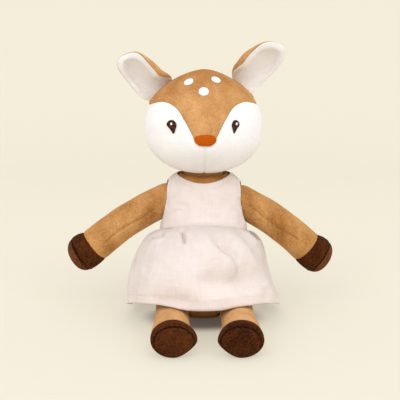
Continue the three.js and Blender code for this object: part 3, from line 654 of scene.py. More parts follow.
head_form = reshape(sphere(7), lambda way: dimpled(head_point(way.normalized())))
split(head_form, (0, BACK_SEAM, 0), (0, 1, 0))
split(head_form, (0, 0, 0), (1, 0, 0))
cheek_side = cut_along(head_form, lambda point: below_cheek_seam(point) if point.y < BACK_SEAM + 4 else -FAR_AWAY)
HEAD_PANELS = ("forehead", "cheek_left", "cheek_right", "back_of_head_left", "back_of_head_right")
for face in head_form.faces:
    middle = face.calc_center_median()
    right = 1 if middle.x < 0 else 0
    if middle.y > BACK_SEAM:
        face.material_index = 3 + right
    elif sum(cheek_side[vert] for vert in face.verts) > 0:
        face.material_index = 1 + right

for index, node in enumerate(HEAD_PANELS):
    white = node.startswith("cheek")
    panel = panel_of(head_form, lambda face: face.material_index == index)
    for face in panel.faces:
        face.material_index = 0
    draw_in(panel, 0.8, 1.2)
    lumps(panel, 26, 0.5, 3)
    bmesh.ops.transform(panel, matrix=HEAD_PLACE, verts=panel.verts)
    finish_skin(panel, node + "_skin", WHITE if white else TAN_CROWN_SHADED, "head", [node],
                "velour_white" if white else "velour_tan", 1.6, 0)
head_form.free()

# %% [markdown]
# ## The embroidered face
# Each stitched patch is a thin pad that follows the head. A flattened sphere gives its two sides and its rounded
# edge, an outline function shapes it, and its points are then laid on the head's surface.

# %% The embroidered face


def face_patch(
    name, fabric, slot, side, rise, width, height, thickness, outline, lift, sink=0.6, fineness=4, frontal=False,
):
    """A patch round the point of the face at a side and a rise. A frontal one is measured as seen from the front."""
    middle = head_way(side, rise)
    right = Vector((0, 0, 1)).cross(middle).normalized()
    up = middle.cross(right)
    reach = head_point(middle).length
    form = sphere(fineness)

    def laid(point):
        across, along = outline(point.x, point.y)
        if frontal:
            way = head_way(side + across * width / 2, rise + along * height / 2)
        else:
            way = (middle + right * (across * width / 2 / reach) + up * (along * height / 2 / reach)).normalized()
        rim = max(0, 1 - point.x**2 - point.y**2) ** 0.3
        above = thickness * rim if point.z > 0 else -sink * rim
        return HEAD_PLACE @ (dimpled(head_point(way)) + way * (lift + above))

    reshape(form, laid)
    bmesh.ops.recalc_face_normals(form, faces=form.faces)
    finish_skin(form, name + "_stitches", fabric, "head", [name], slot)


def round_outline(across, along):
    return across, along


def eye_outline(sign):
    """A drop whose point hangs down towards the nose."""
    def outline(across, along):
        low = smoothstep(-along, -0.3, 1)
        return across * (1 - 0.62 * low) - sign * 0.4 * low, along
    return outline


def nose_outline(across, along):
    """Wide above with full corners, narrower below, and a slight dip along the top."""
    corner = (abs(across) ** 2.15 + abs(along) ** 2.15) ** (1 / 2.15)
    full = math.hypot(across, along) / corner if corner > 1e-6 else 1
    x, y = across * full, along * full
    return x * (1 + 0.05 * y), y - 0.12 * smoothstep(y, 0.2, 1) * (1 - abs(x))


EYE_WIDTHS, EYE_HEIGHT, EYES_ASIDE = {"left": 7.9, "right": 9.8}, 10.4, 1.1
SPOT_PLACES = {"left": (10.6, 42), "right": (-13.8, 40), "middle": (-0.7, 31)}
for side_name, side_sign in SIDES.items():
    eye_side = side_sign * EYE_SIDE - EYES_ASIDE
    face_patch(f"eye_{side_name}", DARK_THREAD, "thread_dark", eye_side, EYE_RISE + 0.5, EYE_WIDTHS[side_name],
               EYE_HEIGHT, 0.8, eye_outline(side_sign), 0.35)
    face_patch(f"eye_glint_{side_name}", WHITE_THREAD, "thread_white", eye_side + 0.4, EYE_RISE + 2.2,
               1.8, 2.4, 0.5, round_outline, 1.1, 0.3, 3)
for spot, (side, rise) in SPOT_PLACES.items():
    face_patch(f"brow_spot_{spot}", WHITE_THREAD, "thread_white", side, rise, 8, 8, 0.8, round_outline, 0.35)
face_patch("nose", ORANGE_THREAD, "thread_orange", 0, 0.6 - NOSE_DROP, 18, 9.8, 1.9, nose_outline, 0.5, 0.8, 5,
           frontal=True)

# %% [markdown]
# ## The ears
# An ear is two leaves sewn together and turned: a tan back and a white lining whose filling is pushed to the edge,
# so that a soft roll runs round the hollow. The leaf is cupped round an upright axis, its tip leans forward, and its
# root is pinched on a seam roll that lies along the head. No two plush ears bend alike, so each has its own measures.

# %% The ears
EAR_BENDS = {
    "left": {"side": 35, "length": 53, "width": 48, "outer": 0.73, "root": 0.66, "tip": 2.56, "cup": 30, "yaw": 33,
             "curl": 13.9, "swell": 6.8, "out": 28.4, "nod": -12.2},
    "right": {"side": 38.5, "length": 51, "width": 46.3, "outer": 0.76, "root": 0.94, "tip": 2.68, "cup": 20.2,
              "yaw": 36.2, "curl": 9.1, "swell": 4, "out": 32.8, "nod": -21.9},
}
EAR_ROOT_BACK = 19
EAR_ROLL = 2.8
ROOT_GAP = 0.45


def leaf(bend, across, along):
    """A point of the unit disc on the ear's outline: nearly straight at the root, round at the tip."""
    power = 5 if along < 0 else bend["tip"]
    length = math.hypot(across, along)
    corner = (abs(across) ** power + abs(along) ** power) ** (1 / power)
    full = length / corner if corner > 1e-9 else 1
    share = (along * full + 1) / 2
    wide = across * full * (bend["outer"] if across > 0 else 1)
    return wide * (bend["root"] + (1 - bend["root"]) * smoothstep(share, 0, 0.62)), share


def ear_point(bend, wide, share, offset):
    """A point of the bent ear: how wide of its middle, how far up it, and how far out of the leaf."""
    angle = wide * bend["width"] / 2 / bend["cup"]
    cup = smoothstep(share, -0.15, 0.5)
    radius = bend["cup"] - offset * cup
    point = Vector((
        radius * math.sin(angle),
        -cup * bend["cup"] * (1 - math.cos(angle)) - offset * math.cos(angle * cup) - bend["curl"] * share**3,
        bend["length"] * share,
    ))
    return Matrix.Rotation(math.radians(bend["yaw"]) * smoothstep(share, 0, 0.5), 3, "Z") @ point


def ear_place(bend, sign):
    """(the turn of the leaf, the place of its seam roll on the head)."""
    side = bend["side"]
    way = Vector((side / HEAD_WIDTH, EAR_ROOT_BACK / HEAD_WIDTH, 1))
    for _ in range(60):
        way.normalize()
        point = head_point(way)
        way.x += (side - point.x) / HEAD_WIDTH
        way.y += (EAR_ROOT_BACK - point.y) / HEAD_WIDTH

    def skin_by(x, y):
        return head_point((way + Vector((x, y, 0))).normalized())

    out = (skin_by(1e-3, 0) - skin_by(-1e-3, 0)).cross(skin_by(0, 1e-3) - skin_by(0, -1e-3)).normalized()
    slope = math.atan2(out.x, out.z)
    middle = head_point(way.normalized()) + out * (EAR_ROLL + ROOT_GAP)
    middle.x *= sign
    outward = math.radians(bend["out"]) - slope
    turn = Matrix.Rotation(-math.radians(bend["nod"]), 4, "X") @ Matrix.Rotation(outward, 4, "Y")
    return turn, HEAD_PLACE @ Matrix.Translation(middle) @ Matrix.Rotation(sign * slope, 4, "Y")


def ear_leaf(bend, front):
    """One padded leaf. The lining has a roll round its hollow, the back swells along its inner half."""
    form = bmesh.new()
    bmesh.ops.create_uvsphere(form, u_segments=88, v_segments=44, radius=1)

    def laid(point):
        edge = min(1, math.hypot(point.x, point.y))
        rim = max(0, 1 - edge**2) ** 0.5
        wide, share = leaf(bend, point.x, point.y)
        if front:
            roll = math.exp(-(((edge - 0.83) / 0.14) ** 2)) * smoothstep(point.y, -0.95, -0.3)
            near_head = smoothstep(share, 0.08, 0.4)
            offset = 0.1 + (0.4 + 0.7 * near_head + 3.7 * roll * near_head) * rim**0.4 if point.z > 0 else 0.1
        else:
            swell = bend["swell"] * smoothstep(-point.x, -0.1, 0.6)
            swell *= smoothstep(share, 0.02, 0.2) * (1 - smoothstep(share, 0.4, 1))
            offset = -0.1 - (2.1 + 1.2 * edge) * rim**0.4 - swell * rim if point.z < 0 else -0.1
        return ear_point(bend, wide, share, offset)

    return reshape(form, laid)


def seam_roll():
    """The pinched roll at the root of an ear: a short round-ended tube along X."""
    arc = [(EAR_ROLL * math.cos(angle), -10 + EAR_ROLL * math.sin(angle)) for angle in
           [math.radians(value) for value in (-90, -60, -30, 0)]]
    profile = [(max(radius, 0), height) for radius, height in arc]
    profile[0] = (0, profile[0][1])
    far_end = [(radius, -height) for radius, height in reversed(profile)]
    profile += [(EAR_ROLL, -5), (EAR_ROLL, 0), (EAR_ROLL, 5)] + far_end
    form = turned(profile, 24)
    bmesh.ops.rotate(form, verts=form.verts, matrix=Matrix.Rotation(math.pi / 2, 3, "Y"), cent=(0, 0, 0))
    return form


def join_in(form, other):
    """Adds another form to a form."""
    mesh = bpy.data.meshes.new("joined")
    other.to_mesh(mesh)
    form.from_mesh(mesh)
    bpy.data.meshes.remove(mesh)
    other.free()


for side_name, side_sign in SIDES.items():
    ear_bend = EAR_BENDS[side_name]
    turn, place = ear_place(ear_bend, side_sign)
    for part, front, fabric, slot in (("back", False, TAN, "velour_tan"), ("lining", True, WHITE, "velour_white")):
        ear = ear_leaf(ear_bend, front)
        bmesh.ops.transform(ear, matrix=turn, verts=ear.verts)
        if not front:
            join_in(ear, seam_roll())
        if side_sign < 0:
            bmesh.ops.scale(ear, verts=ear.verts, vec=(-1, 1, 1))
        bmesh.ops.recalc_face_normals(ear, faces=ear.faces)
        lumps(ear, 14, 0.5, 5)
        bmesh.ops.transform(ear, matrix=place, verts=ear.verts)
        node = f"ear_{part}_{side_name}"
        finish_skin(ear, node + "_skin", fabric, f"ear_{side_name}", [node], slot)

# %% [markdown]
# ## The body
# Under the dress the body is a pear that leans back, flat where it sits. Its skin is open where the limbs and the
# neck go in, so that they can turn. A front, a back and a seat panel are cut from one turned form.

# %% The body's form
BODY_RADIUS = 44
BODY_PROFILE = [(wide * BODY_RADIUS, high * BODY_HEIGHT) for wide, high in (
    (0, 0), (0.42, 0), (0.66, 0.018), (0.86, 0.06), (0.96, 0.11), (1, 0.19), (0.98, 0.29), (0.92, 0.42),
    (0.865, 0.57), (0.845, 0.7), (0.84, 0.8), (0.815, 0.865), (0.745, 0.92), (0.62, 0.965), (0.45, 0.993), (0, 1))]
BODY_DEPTH = 0.83
ARM_RADIUS, LEG_RADIUS = 14.7, 13.2
ARM_DROP = {"left": 35.7, "right": 32.7}
ARM_RAISE, LEG_DROP = 60, 80
ARM_SWELL = 0.6
LEG_WIDE = 1.08
BODY_ROOM = (0.5, 1.4)
NECK_HOLE, NECK_HOLE_LOW = 18.6, 112
SHOULDERS = {
    name: Vector((sign * 34, body_middle(height), height)) for (name, sign), height in zip(SIDES.items(), (101, 102.5))}
HIPS = {name: Vector((sign * 28.5, -24, LEG_RADIUS)) for name, sign in SIDES.items()}


def body_line(offset, steps=6):
    """The body's profile, moved out by an offset, with a number of steps between its given points."""
    line = curve_through(BODY_PROFILE[1:-1], steps)
    line = [Vector((0, 0))] + line + [Vector((0, BODY_HEIGHT))]
    moved = []
    for i, point in enumerate(line):
        run = (line[min(i + 1, len(line) - 1)] - line[max(i - 1, 0)]).normalized()
        moved.append(Vector((max(point.x + run.y * offset, 0) if point.x else 0, point.y - run.x * offset)))
    return moved


def leaning(point):
    return Vector((point.x, point.y * BODY_DEPTH + body_middle(point.z), point.z))


def off_swing(flat, low, high):
    """How far a point lies off the sector between two angles, in the plane in which a limb swings."""
    angle = min(high, max(low, math.atan2(flat.y, flat.x)))
    way = Vector((math.cos(angle), math.sin(angle)))
    return (flat - way * max(0, flat.dot(way))).length


def outside_arm(name, point, room):
    """How far a point lies outside the room in which an arm swings."""
    away = point - SHOULDERS[name]
    low = math.radians(-ARM_DROP[name])
    off = off_swing(Vector((away.x * SIDES[name], away.z)), low, low + math.radians(ARM_RAISE))
    return math.hypot(off, away.y) - ARM_RADIUS - room - ARM_SWELL


def outside_leg(name, point, room):
    """How far a point lies outside the room in which a leg swings."""
    away = point - HIPS[name]
    off = off_swing(Vector((-away.y, away.z)), -math.radians(LEG_DROP), 0)
    return math.hypot(off, away.x / LEG_WIDE) - LEG_RADIUS - room


def outside_limbs(point, room_at_arm, room_at_leg):
    return min(min(outside_arm(name, point, room_at_arm), outside_leg(name, point, room_at_leg)) for name in SIDES)


def outside_neck(point):
    return math.hypot(point.x, point.y - NECK_PIVOT.y) - NECK_HOLE if point.z > NECK_HOLE_LOW else FAR_AWAY


# %% The body's panels
SEAT_SEAM = 5
body_form = reshape(turned(body_line(0, 4), 96), leaning)
split(body_form, (0, body_middle(0), 0), Vector((0, 1, -0.15)).normalized())
split(body_form, (0, 0, SEAT_SEAM), (0, 0, 1))
keep_side(body_form, lambda point: min(outside_limbs(point, *BODY_ROOM), outside_neck(point)))
for node, belongs in (
    ("body_front", lambda middle: middle.z > SEAT_SEAM and middle.y < body_middle(middle.z)),
    ("body_back", lambda middle: middle.z > SEAT_SEAM and middle.y > body_middle(middle.z)),
    ("body_seat", lambda middle: middle.z < SEAT_SEAM),
):
    panel = panel_of(body_form, lambda face: belongs(face.calc_center_median()))
    if node != "body_seat":
        draw_in(panel, 0.7, 1.6)
    # the body's panels wear the deeper tan, which is painted shade
    finish_skin(panel, node + "_skin", TAN_SHADED, "body", [node], "velour_tan", 1.4)
body_form.free()

# %% [markdown]
# ## The neck
# The neck is a stuffed stub with a round top, on which the head nods. It shows as a tan crescent under the chin.

# %% The neck
NECK_RADIUS, NECK_BALL, NECK_SINK = 18.2, 19, 14
body_top = BODY_HEIGHT - NECK_HEIGHT
start = math.asin(body_top / NECK_BALL)
neck_arc = [start + step / 12 * (math.pi / 2 - start) for step in range(1, 13)]
neck_line = [(0, body_top - NECK_SINK), (NECK_RADIUS - 1, body_top - NECK_SINK),
             (NECK_RADIUS, body_top - NECK_SINK + 1), (NECK_RADIUS, body_top - NECK_SINK / 2), (NECK_RADIUS, body_top)]
neck_line += [(NECK_BALL * math.cos(angle) if angle < 1.57 else 0, NECK_BALL * math.sin(angle)) for angle in neck_arc]
neck = turned(neck_line, 64)
bmesh.ops.translate(neck, verts=neck.verts, vec=NECK_PIVOT)
# The neck wears the deeper tan: painted shade under the chin.
finish_skin(neck, "neck_skin", TAN_SHADED, "neck", ["neck"], "velour_tan")

# %% [markdown]
# ## Arms and legs
# Each limb is made upright from its pivot: a sleeve with a rounded root, a hoof band that swells, a domed pad, the
# filling inside them, and a dark cord in the seam between band and pad, which is painted shade in the seam's groove.
# Where band and pad meet, both turn in to the seam. A shape function slants the seams or widens the leg, and a matrix
# lays the limb in its place. One lengthwise seam and a few creases show on the front of each arm.

# %% A limb's five pieces


def rounded_sleeve(radius, end, length):
    """A tube with a round root, whose end turns in to the seam."""
    arc = [(radius * math.cos(angle) if step else 0, radius * math.sin(angle))
           for step, angle in enumerate([math.radians(-90 + 10 * step) for step in range(10)])]
    tube = [(radius + (end - radius) * share**2, length * share) for share in [step / 80 for step in range(1, 79)]]
    tuck = [(end - 0.2, length - 0.7), (end - 0.9, length + 0.2), (end - 3, length + 0.3), (0, length + 0.3)]
    return arc + tube + tuck


def swelling_band(end, hoof, low, high):
    """It swells from the sleeve's radius to the hoof's, and its lip turns in."""
    wall = [(end + (hoof - end) * math.sin(math.pi / 2 * min(1, share * 1.6)), low + (high - low) * share)
            for share in [step / 14 for step in range(1, 14)]]
    foot = [(0, low), (end - 3, low), (end - 1, low + 0.1), ((end + wall[0][0]) / 2 - 0.3, low + 0.5)]
    lip = [(hoof - 0.3, high - 0.9), (hoof - 1, high), (hoof - 1.9, high - 0.1), (hoof - 2.8, high - 1.6)]
    return foot + wall + lip + [(0, high - 1.6)]


def domed_pad(hoof, low, tip, rim):
    """The pad starts inside the band's lip. rim is how far its edge lies inside the band's outline."""
    foot = [(0, low - 1.4), (hoof - rim - 2, low - 1.4), (hoof - rim - 1.3, low - 0.6), (hoof - rim - 0.4, low + 0.4)]
    dome = [((hoof - rim) * math.cos(angle) ** 0.85 if angle < 1.57 else 0, low + tip * math.sin(angle))
            for angle in [math.radians(9 + 81 * step / 18) for step in range(19)]]
    return foot + dome


def seam_thread(radius, height, thick):
    """A dark cord that lies in the seam all the way round: painted shade in the seam's groove."""
    turns = [math.radians(45 * step) for step in range(9)]
    return [(radius + thick * math.cos(turn), height + thick * math.sin(turn)) for turn in turns]


def limb_filling(radius, end, hoof, top, tip):
    """The fibre inside, a little slimmer than the skins so that no crease reaches it."""
    arc = [((radius - 3) * math.cos(angle) if step else 0, radius * math.sin(angle) + 3)
           for step, angle in enumerate([math.radians(-90 + 15 * step) for step in range(7)])]
    tube = [(end - 3.6, top * 0.8), (hoof - 5, top - 5), (hoof - 5, top), (hoof - 7, top + tip - 3.6)]
    return arc + tube + [(0, top + tip - 3)]


def add_limb(limb, name, sizes, shape, matrix, creases, rim):
    """The five pieces of one limb. Its sizes are the radii of root, end and hoof, and three lengths."""
    radius, end, hoof, length, band, tip = sizes
    sign = SIDES[name]
    top = length + band
    # a dark cord in the seam: painted shade in the groove between band and pad
    thread = seam_thread(hoof - rim - 0.45, top + 0.1, 0.8)
    # Legs wear the paler tan, which is painted light; arms wear the deeper tan, which is painted shade; the arms' pads
    # wear the paler brown, which is painted light.
    sleeve_pile, pad_pile = (TAN_LIT_LEGS, BROWN) if limb == "leg" else (TAN_SHADED_ARMS, BROWN_LIT_PADS)
    for part, kind, profile, fabric, slot, steps in (
        (limb, "skin", rounded_sleeve(radius, end, length), sleeve_pile, "velour_tan", 110),
        (f"{limb}_hoof_band", "skin", swelling_band(end, hoof, length, top), BROWN, "velour_brown", 96),
        (f"{limb}_hoof_pad", "skin", domed_pad(hoof, top, tip, rim), pad_pile, "velour_brown", 96),
        (f"{limb}_filling", "fibre", limb_filling(radius, end, hoof, top, tip), FIBRE, "fibre_filling", 32),
        (f"{limb}_hoof_seam", "thread", thread, SEAM_SHADE_CORD, "thread_dark", 96),
    ):
        form = reshape(turned(profile, steps), shape)
        if sign < 0:
            bmesh.ops.scale(form, verts=form.verts, vec=(-1, 1, 1))
            bmesh.ops.reverse_faces(form, faces=form.faces)
        lumps(form, 17, 0.55 if part == limb else 0.3, 7 + sign)
        bmesh.ops.transform(form, matrix=matrix, verts=form.verts)
        if kind != "fibre":
            press(form, creases.get("sleeve" if part == limb else "hoof", []))
        nodes = [] if kind == "thread" else [f"{part}_{name}"]
        finish_skin(form, f"{part}_{name}_{kind}", fabric, f"{limb}_{name}", nodes, slot)


# %% The arms
ARM_LENGTHS = {"left": 76, "right": 79}
ARM_BAND = 14.4
ARM_BOW = 3
ARM_FORWARD = {"left": -3, "right": 3}
ARM_CREASES = {
    "right": {"sleeve": [
        ([(159, 207), (144.4, 216.7), (133.4, 223.3), (121, 230), (108, 241), (100, 250)], 0.8, 1.7),
        ([(157, 203), (142, 213.5), (131.5, 220), (119, 227), (106, 238)], 1.4, -0.5),
        ([(154, 213), (161, 218)], 1.0, 1.3), ([(150, 219.5), (159, 215)], 0.8, 0.9),
        ([(111, 228), (114, 234), (118, 240)], 1.0, 0.9), ([(117, 226), (122, 236)], 0.9, 0.7),
        ([(103, 235), (108, 247)], 1.2, 0.8), ([(128, 211), (136, 227)], 2.4, 0.7),
    ], "hoof": [
        ([(66, 236), (71, 243), (75.4, 251), (79, 258), (84, 266), (88, 272)], 1.1, 1.5),
        ([(70, 251), (81.5, 248.5)], 0.8, 1.3), ([(71.5, 245), (80, 256.5)], 0.8, 1.1),
        ([(76, 262), (86, 258.5)], 0.9, 0.9),
    ]},
    "left": {"sleeve": [
        ([(243.3, 202.9), (254.5, 209.6), (263.4, 217.5), (273.5, 225.3), (282.4, 230.8), (295, 238), (303, 246)],
         0.8, 1.7),
        ([(246, 200), (257, 206.5), (266, 214.5), (276, 222), (285, 227.5), (297, 235)], 1.4, -0.5),
        ([(245, 208), (253, 205)], 1.0, 1.2), ([(256, 207), (265, 214.5)], 0.8, 0.8),
        ([(267, 222), (278, 219)], 0.9, 1.0), ([(270, 227), (280, 224)], 0.9, 0.9),
        ([(289, 225), (286, 238)], 1.2, 0.8), ([(264, 199), (258, 217)], 2.4, 0.7),
    ], "hoof": [
        ([(331, 239), (326, 246), (322, 253), (317, 260), (311, 266), (305, 272)], 1.1, 1.5),
        ([(315, 249.5), (327, 253.5)], 0.8, 1.2), ([(311, 255), (321, 262)], 0.9, 1.0),
        ([(321, 247), (319, 258)], 0.8, 0.9),
    ]},
}
for side_name, side_sign in SIDES.items():
    arm_length = ARM_LENGTHS[side_name]

    def arm_shape(point):
        """The arm hangs in a bow, its two hoof seams slant, and the cloth crinkles at the second."""
        slant = -0.118 * smoothstep(point.z, arm_length / 2, arm_length) + 0.158 * smoothstep(
            point.z, arm_length, arm_length + ARM_BAND)
        bow = ARM_BOW * math.sin(math.pi * min(1, max(0, point.z / arm_length)))
        at_seam = math.exp(-(((point.z - arm_length - ARM_BAND) / 3) ** 2))
        crinkle = 1.5 * noise.noise(Vector((point.x, point.y, 7)) / 3.2) * at_seam
        return Vector((point.x - bow, point.y, point.z + slant * point.x + crinkle))

    arm_forward = math.radians(ARM_FORWARD[side_name])
    arm_out = math.pi / 2 + math.radians(ARM_DROP[side_name])
    arm_matrix = (Matrix.Translation(SHOULDERS[side_name]) @ Matrix.Rotation(-side_sign * arm_forward, 4, "Z")
                  @ Matrix.Rotation(side_sign * arm_out, 4, "Y"))
    arm_sizes = (ARM_RADIUS, 15.4, 17, arm_length, ARM_BAND, 10)
    add_limb("arm", side_name, arm_sizes, arm_shape, arm_matrix, ARM_CREASES[side_name], 0.8)

# %% The legs
LEG_LENGTH, LEG_BAND, LEG_HOOF = 82, 11, 14.2
LEG_TOP = LEG_LENGTH + LEG_BAND
LEG_SIZES = (LEG_RADIUS, 13.6, LEG_HOOF, LEG_LENGTH, LEG_BAND, 4.5)
LEG_TURNS = {"left": -0.2, "right": 3.6}


def leg_shape(point):
    """The leg rises as it gets thicker, its sole is wide, and it is cut low on its inner side."""
    inner = point.x < 0
    wide = LEG_WIDE + 0.2 * smoothstep(point.z, LEG_LENGTH - 6 if inner else LEG_LENGTH / 2, LEG_TOP)
    rise = (LEG_HOOF - LEG_RADIUS) * smoothstep(point.z, LEG_LENGTH / 3, LEG_LENGTH)
    sole = smoothstep(point.z, LEG_TOP - 1, LEG_TOP + 1)
    out = 0.7 * smoothstep(point.z, 20, 55) * (1 - smoothstep(point.z, LEG_LENGTH - 6, LEG_TOP))
    cut = 0.0055 * max(0, -point.x) ** 1.6 * max(0, -point.y) * smoothstep(point.z, LEG_LENGTH - 22, LEG_TOP)
    return Vector((point.x * wide + out, point.y + rise + cut - 0.9 * sole, point.z))


for side_name, side_sign in SIDES.items():
    leg_turn = math.radians(LEG_TURNS[side_name])
    leg_matrix = (Matrix.Translation(HIPS[side_name]) @ Matrix.Rotation(-side_sign * leg_turn, 4, "Z")
                  @ Matrix.Rotation(math.pi / 2, 4, "X"))
    add_limb("leg", side_name, LEG_SIZES, leg_shape, leg_matrix, {}, 2.2)

# %% [markdown]
# ## The tail
# A small pad of two leaves hangs behind the body, tan above and white below, on a pinched root.

# %% The tail
TAIL_LENGTH, TAIL_WIDTH, TAIL_ROLL = 21, 13, 2.6
TAIL_HEIGHT = 46


def body_radius(height):
    """The body's half width at a height."""
    line = body_line(0)
    for a, b in zip(line[2:], line[3:]):
        if a.y <= height <= b.y:
            return a.x + (b.x - a.x) * (height - a.y) / (b.y - a.y)
    return 0


tail_back = body_middle(TAIL_HEIGHT) + body_radius(TAIL_HEIGHT) * BODY_DEPTH + TAIL_ROLL + ROOT_GAP
tail_root = Vector((0, tail_back, TAIL_HEIGHT))
tail_matrix = Matrix.Translation(tail_root) @ Matrix.Rotation(math.radians(24), 4, "X")
for node, outside, fabric, slot in (
    ("tail_top", 1, TAN, "velour_tan"), ("tail_underside", -1, WHITE, "velour_white"),
):
    tail = bmesh.new()
    bmesh.ops.create_uvsphere(tail, u_segments=40, v_segments=20, radius=1)

    def tail_point(point):
        rim = max(0, 1 - point.x**2 - point.y**2) ** 0.35
        thick = 2.6 * rim if point.z * outside > 0 else 0
        wide = TAIL_WIDTH / 2 * (1 - 0.25 * smoothstep(-point.y, 0.2, 1))
        return Vector((point.x * wide, outside * (0.1 + thick), -(1 + point.y) * TAIL_LENGTH / 2))

    reshape(tail, tail_point)
    bmesh.ops.recalc_face_normals(tail, faces=tail.faces)
    if outside > 0:
        roll = seam_roll()
        bmesh.ops.scale(roll, verts=roll.verts, vec=(0.42, 0.92, 0.92))
        join_in(tail, roll)
    bmesh.ops.transform(tail, matrix=tail_matrix, verts=tail.verts)
    finish_skin(tail, node + "_skin", fabric, "tail", [node], slot)

# %% [markdown]
# ## The dress
# Cloth starts as a flat grid that carries a map in millimetres, and is then laid on the toy. The bodice lies on the
# body: a grid runs round it and up its profile, and is cut out at the neck, at the arms and down the back. Its edges
# are turned in.

# %% Cloth
WAIST = BODY_HEIGHT - 53.5
WAIST_TILT = 0.33
COTTON_THICK = 1.0


def cloth_grid(columns, rows, width, length, place):
    """A grid with a map in millimetres, laid by place(share across, share along)."""
    form = bmesh.new()
    layer = form.loops.layers.uv.new("cloth")
    bmesh.ops.create_grid(form, x_segments=columns, y_segments=rows, size=1)
    for face in form.faces:
        for loop in face.loops:
            loop[layer].uv = ((loop.vert.co.x + 1) / 2 * width, (loop.vert.co.y + 1) / 2 * length)
    return reshape(form, lambda point: place((point.x + 1) / 2, (point.y + 1) / 2))


BODICE_LINE = body_line(0.9)
waist_from = next(i for i, point in enumerate(BODICE_LINE) if point.y > WAIST - 14)
BODICE_LINE = BODICE_LINE[waist_from:]


def bodice_point(turn, share):
    """A point on the body under the bodice: turn in degrees from the toy's left, share up the profile."""
    at = share * (len(BODICE_LINE) - 1)
    low = min(int(at), len(BODICE_LINE) - 2)
    radius, height = BODICE_LINE[low].lerp(BODICE_LINE[low + 1], at - low)
    angle = math.radians(turn)
    return leaning(Vector((radius * math.cos(angle), radius * math.sin(angle), height)))


def above_waist(point):
    return point.z - WAIST + WAIST_TILT * (point.y - body_middle(WAIST))


NECKLINE, NECKLINE_SIDE, NECKLINE_LOW = 25, 23.6, 100
NECKLINE_MIDDLE = NECK_PIVOT.y - 3.2
ARMHOLE, ARMHOLE_RISE, ARMHOLE_FROM = (14, 17.5), 0.5, 22
BODICE_ROOM = (0.3, 0.3)


def outside_neckline(point):
    if point.z <= NECKLINE_LOW:
        return FAR_AWAY
    return math.hypot(point.x * NECKLINE / NECKLINE_SIDE, point.y - NECKLINE_MIDDLE) - NECKLINE


def outside_armholes(point):
    best = FAR_AWAY
    for name, sign in SIDES.items():
        if point.x * sign < ARMHOLE_FROM:
            continue
        away = point - SHOULDERS[name]
        best = min(best, (math.hypot(away.y / ARMHOLE[0], (away.z - ARMHOLE_RISE) / ARMHOLE[1]) - 1) * 15)
    return best


def inside_bodice(point):
    return min(above_waist(point), outside_neckline(point), outside_armholes(point), outside_limbs(point, *BODICE_ROOM))


# %% [markdown]
# The turned edges are held by a row of stitches. A row is found by looking down on the neckline, and in from the side
# on the armholes: each ray meets the cloth where a stitch belongs. The cloth is drawn in along the row, and each
# stitch is a short round-ended thread of a few faces that lies in that line.

# %% Rows of stitches
STITCH_SHARE, STITCH_RADIUS, STITCH_LIFT = 0.62, 0.32, 1.0


def row_on_cloth(form, starts, way):
    """Where rays meet the cloth, as runs of (point, outward direction)."""
    tree = bvhtree.BVHTree.FromBMesh(form)
    runs = [[]]
    for start in starts:
        point, out, _, _ = tree.ray_cast(Vector(start), Vector(way))
        if point is None:
            runs.append([])
        else:
            runs[-1].append((point, out if out.dot(Vector(way)) < 0 else -out))
    return [run for run in runs if len(run) > 8]


def stitch_rows(name, runs, step=2.7):
    """One piece of short threads along rows on the cloth."""
    threads = bmesh.new()
    for run in runs:
        gone, stops = 0, []
        for (a, out), (b, _) in zip(run, run[1:]):
            length = (b - a).length
            while gone <= length and length > 0:
                stops.append((a.lerp(b, gone / length), out))
                gone += step
            gone -= length
        for (a, out), (b, _) in zip(stops, stops[1:]):
            if (b - a).length > 2 * step:
                continue
            way = (b - a).normalized()
            lie = way.to_track_quat("Z", "X").to_matrix().to_4x4()
            place = Matrix.Translation(a + (b - a) * STITCH_SHARE / 2 + out * STITCH_LIFT) @ lie @ Matrix.Diagonal(
                (STITCH_RADIUS, STITCH_RADIUS, step * STITCH_SHARE / 2, 1))
            bmesh.ops.create_uvsphere(threads, u_segments=6, v_segments=4, radius=1, matrix=place)
    bmesh.ops.recalc_face_normals(threads, faces=threads.faces)
    return finish_skin(threads, name, CREAM_THREAD, "body", [], "dress_cotton", None, 0)


ALL_ROUND = [math.radians(turn / 2) for turn in range(721)]


def neckline_starts(inset):
    wide, deep = NECKLINE_SIDE + inset, NECKLINE + inset
    return [(wide * math.cos(angle), NECKLINE_MIDDLE + deep * math.sin(angle), 200) for angle in ALL_ROUND]


def armhole_starts(name, inset):
    middle = SHOULDERS[name]
    return [(SIDES[name] * 90, middle.y + (ARMHOLE[0] + inset) * math.cos(angle),
             middle.z + ARMHOLE_RISE + (ARMHOLE[1] + inset) * math.sin(angle)) for angle in ALL_ROUND]


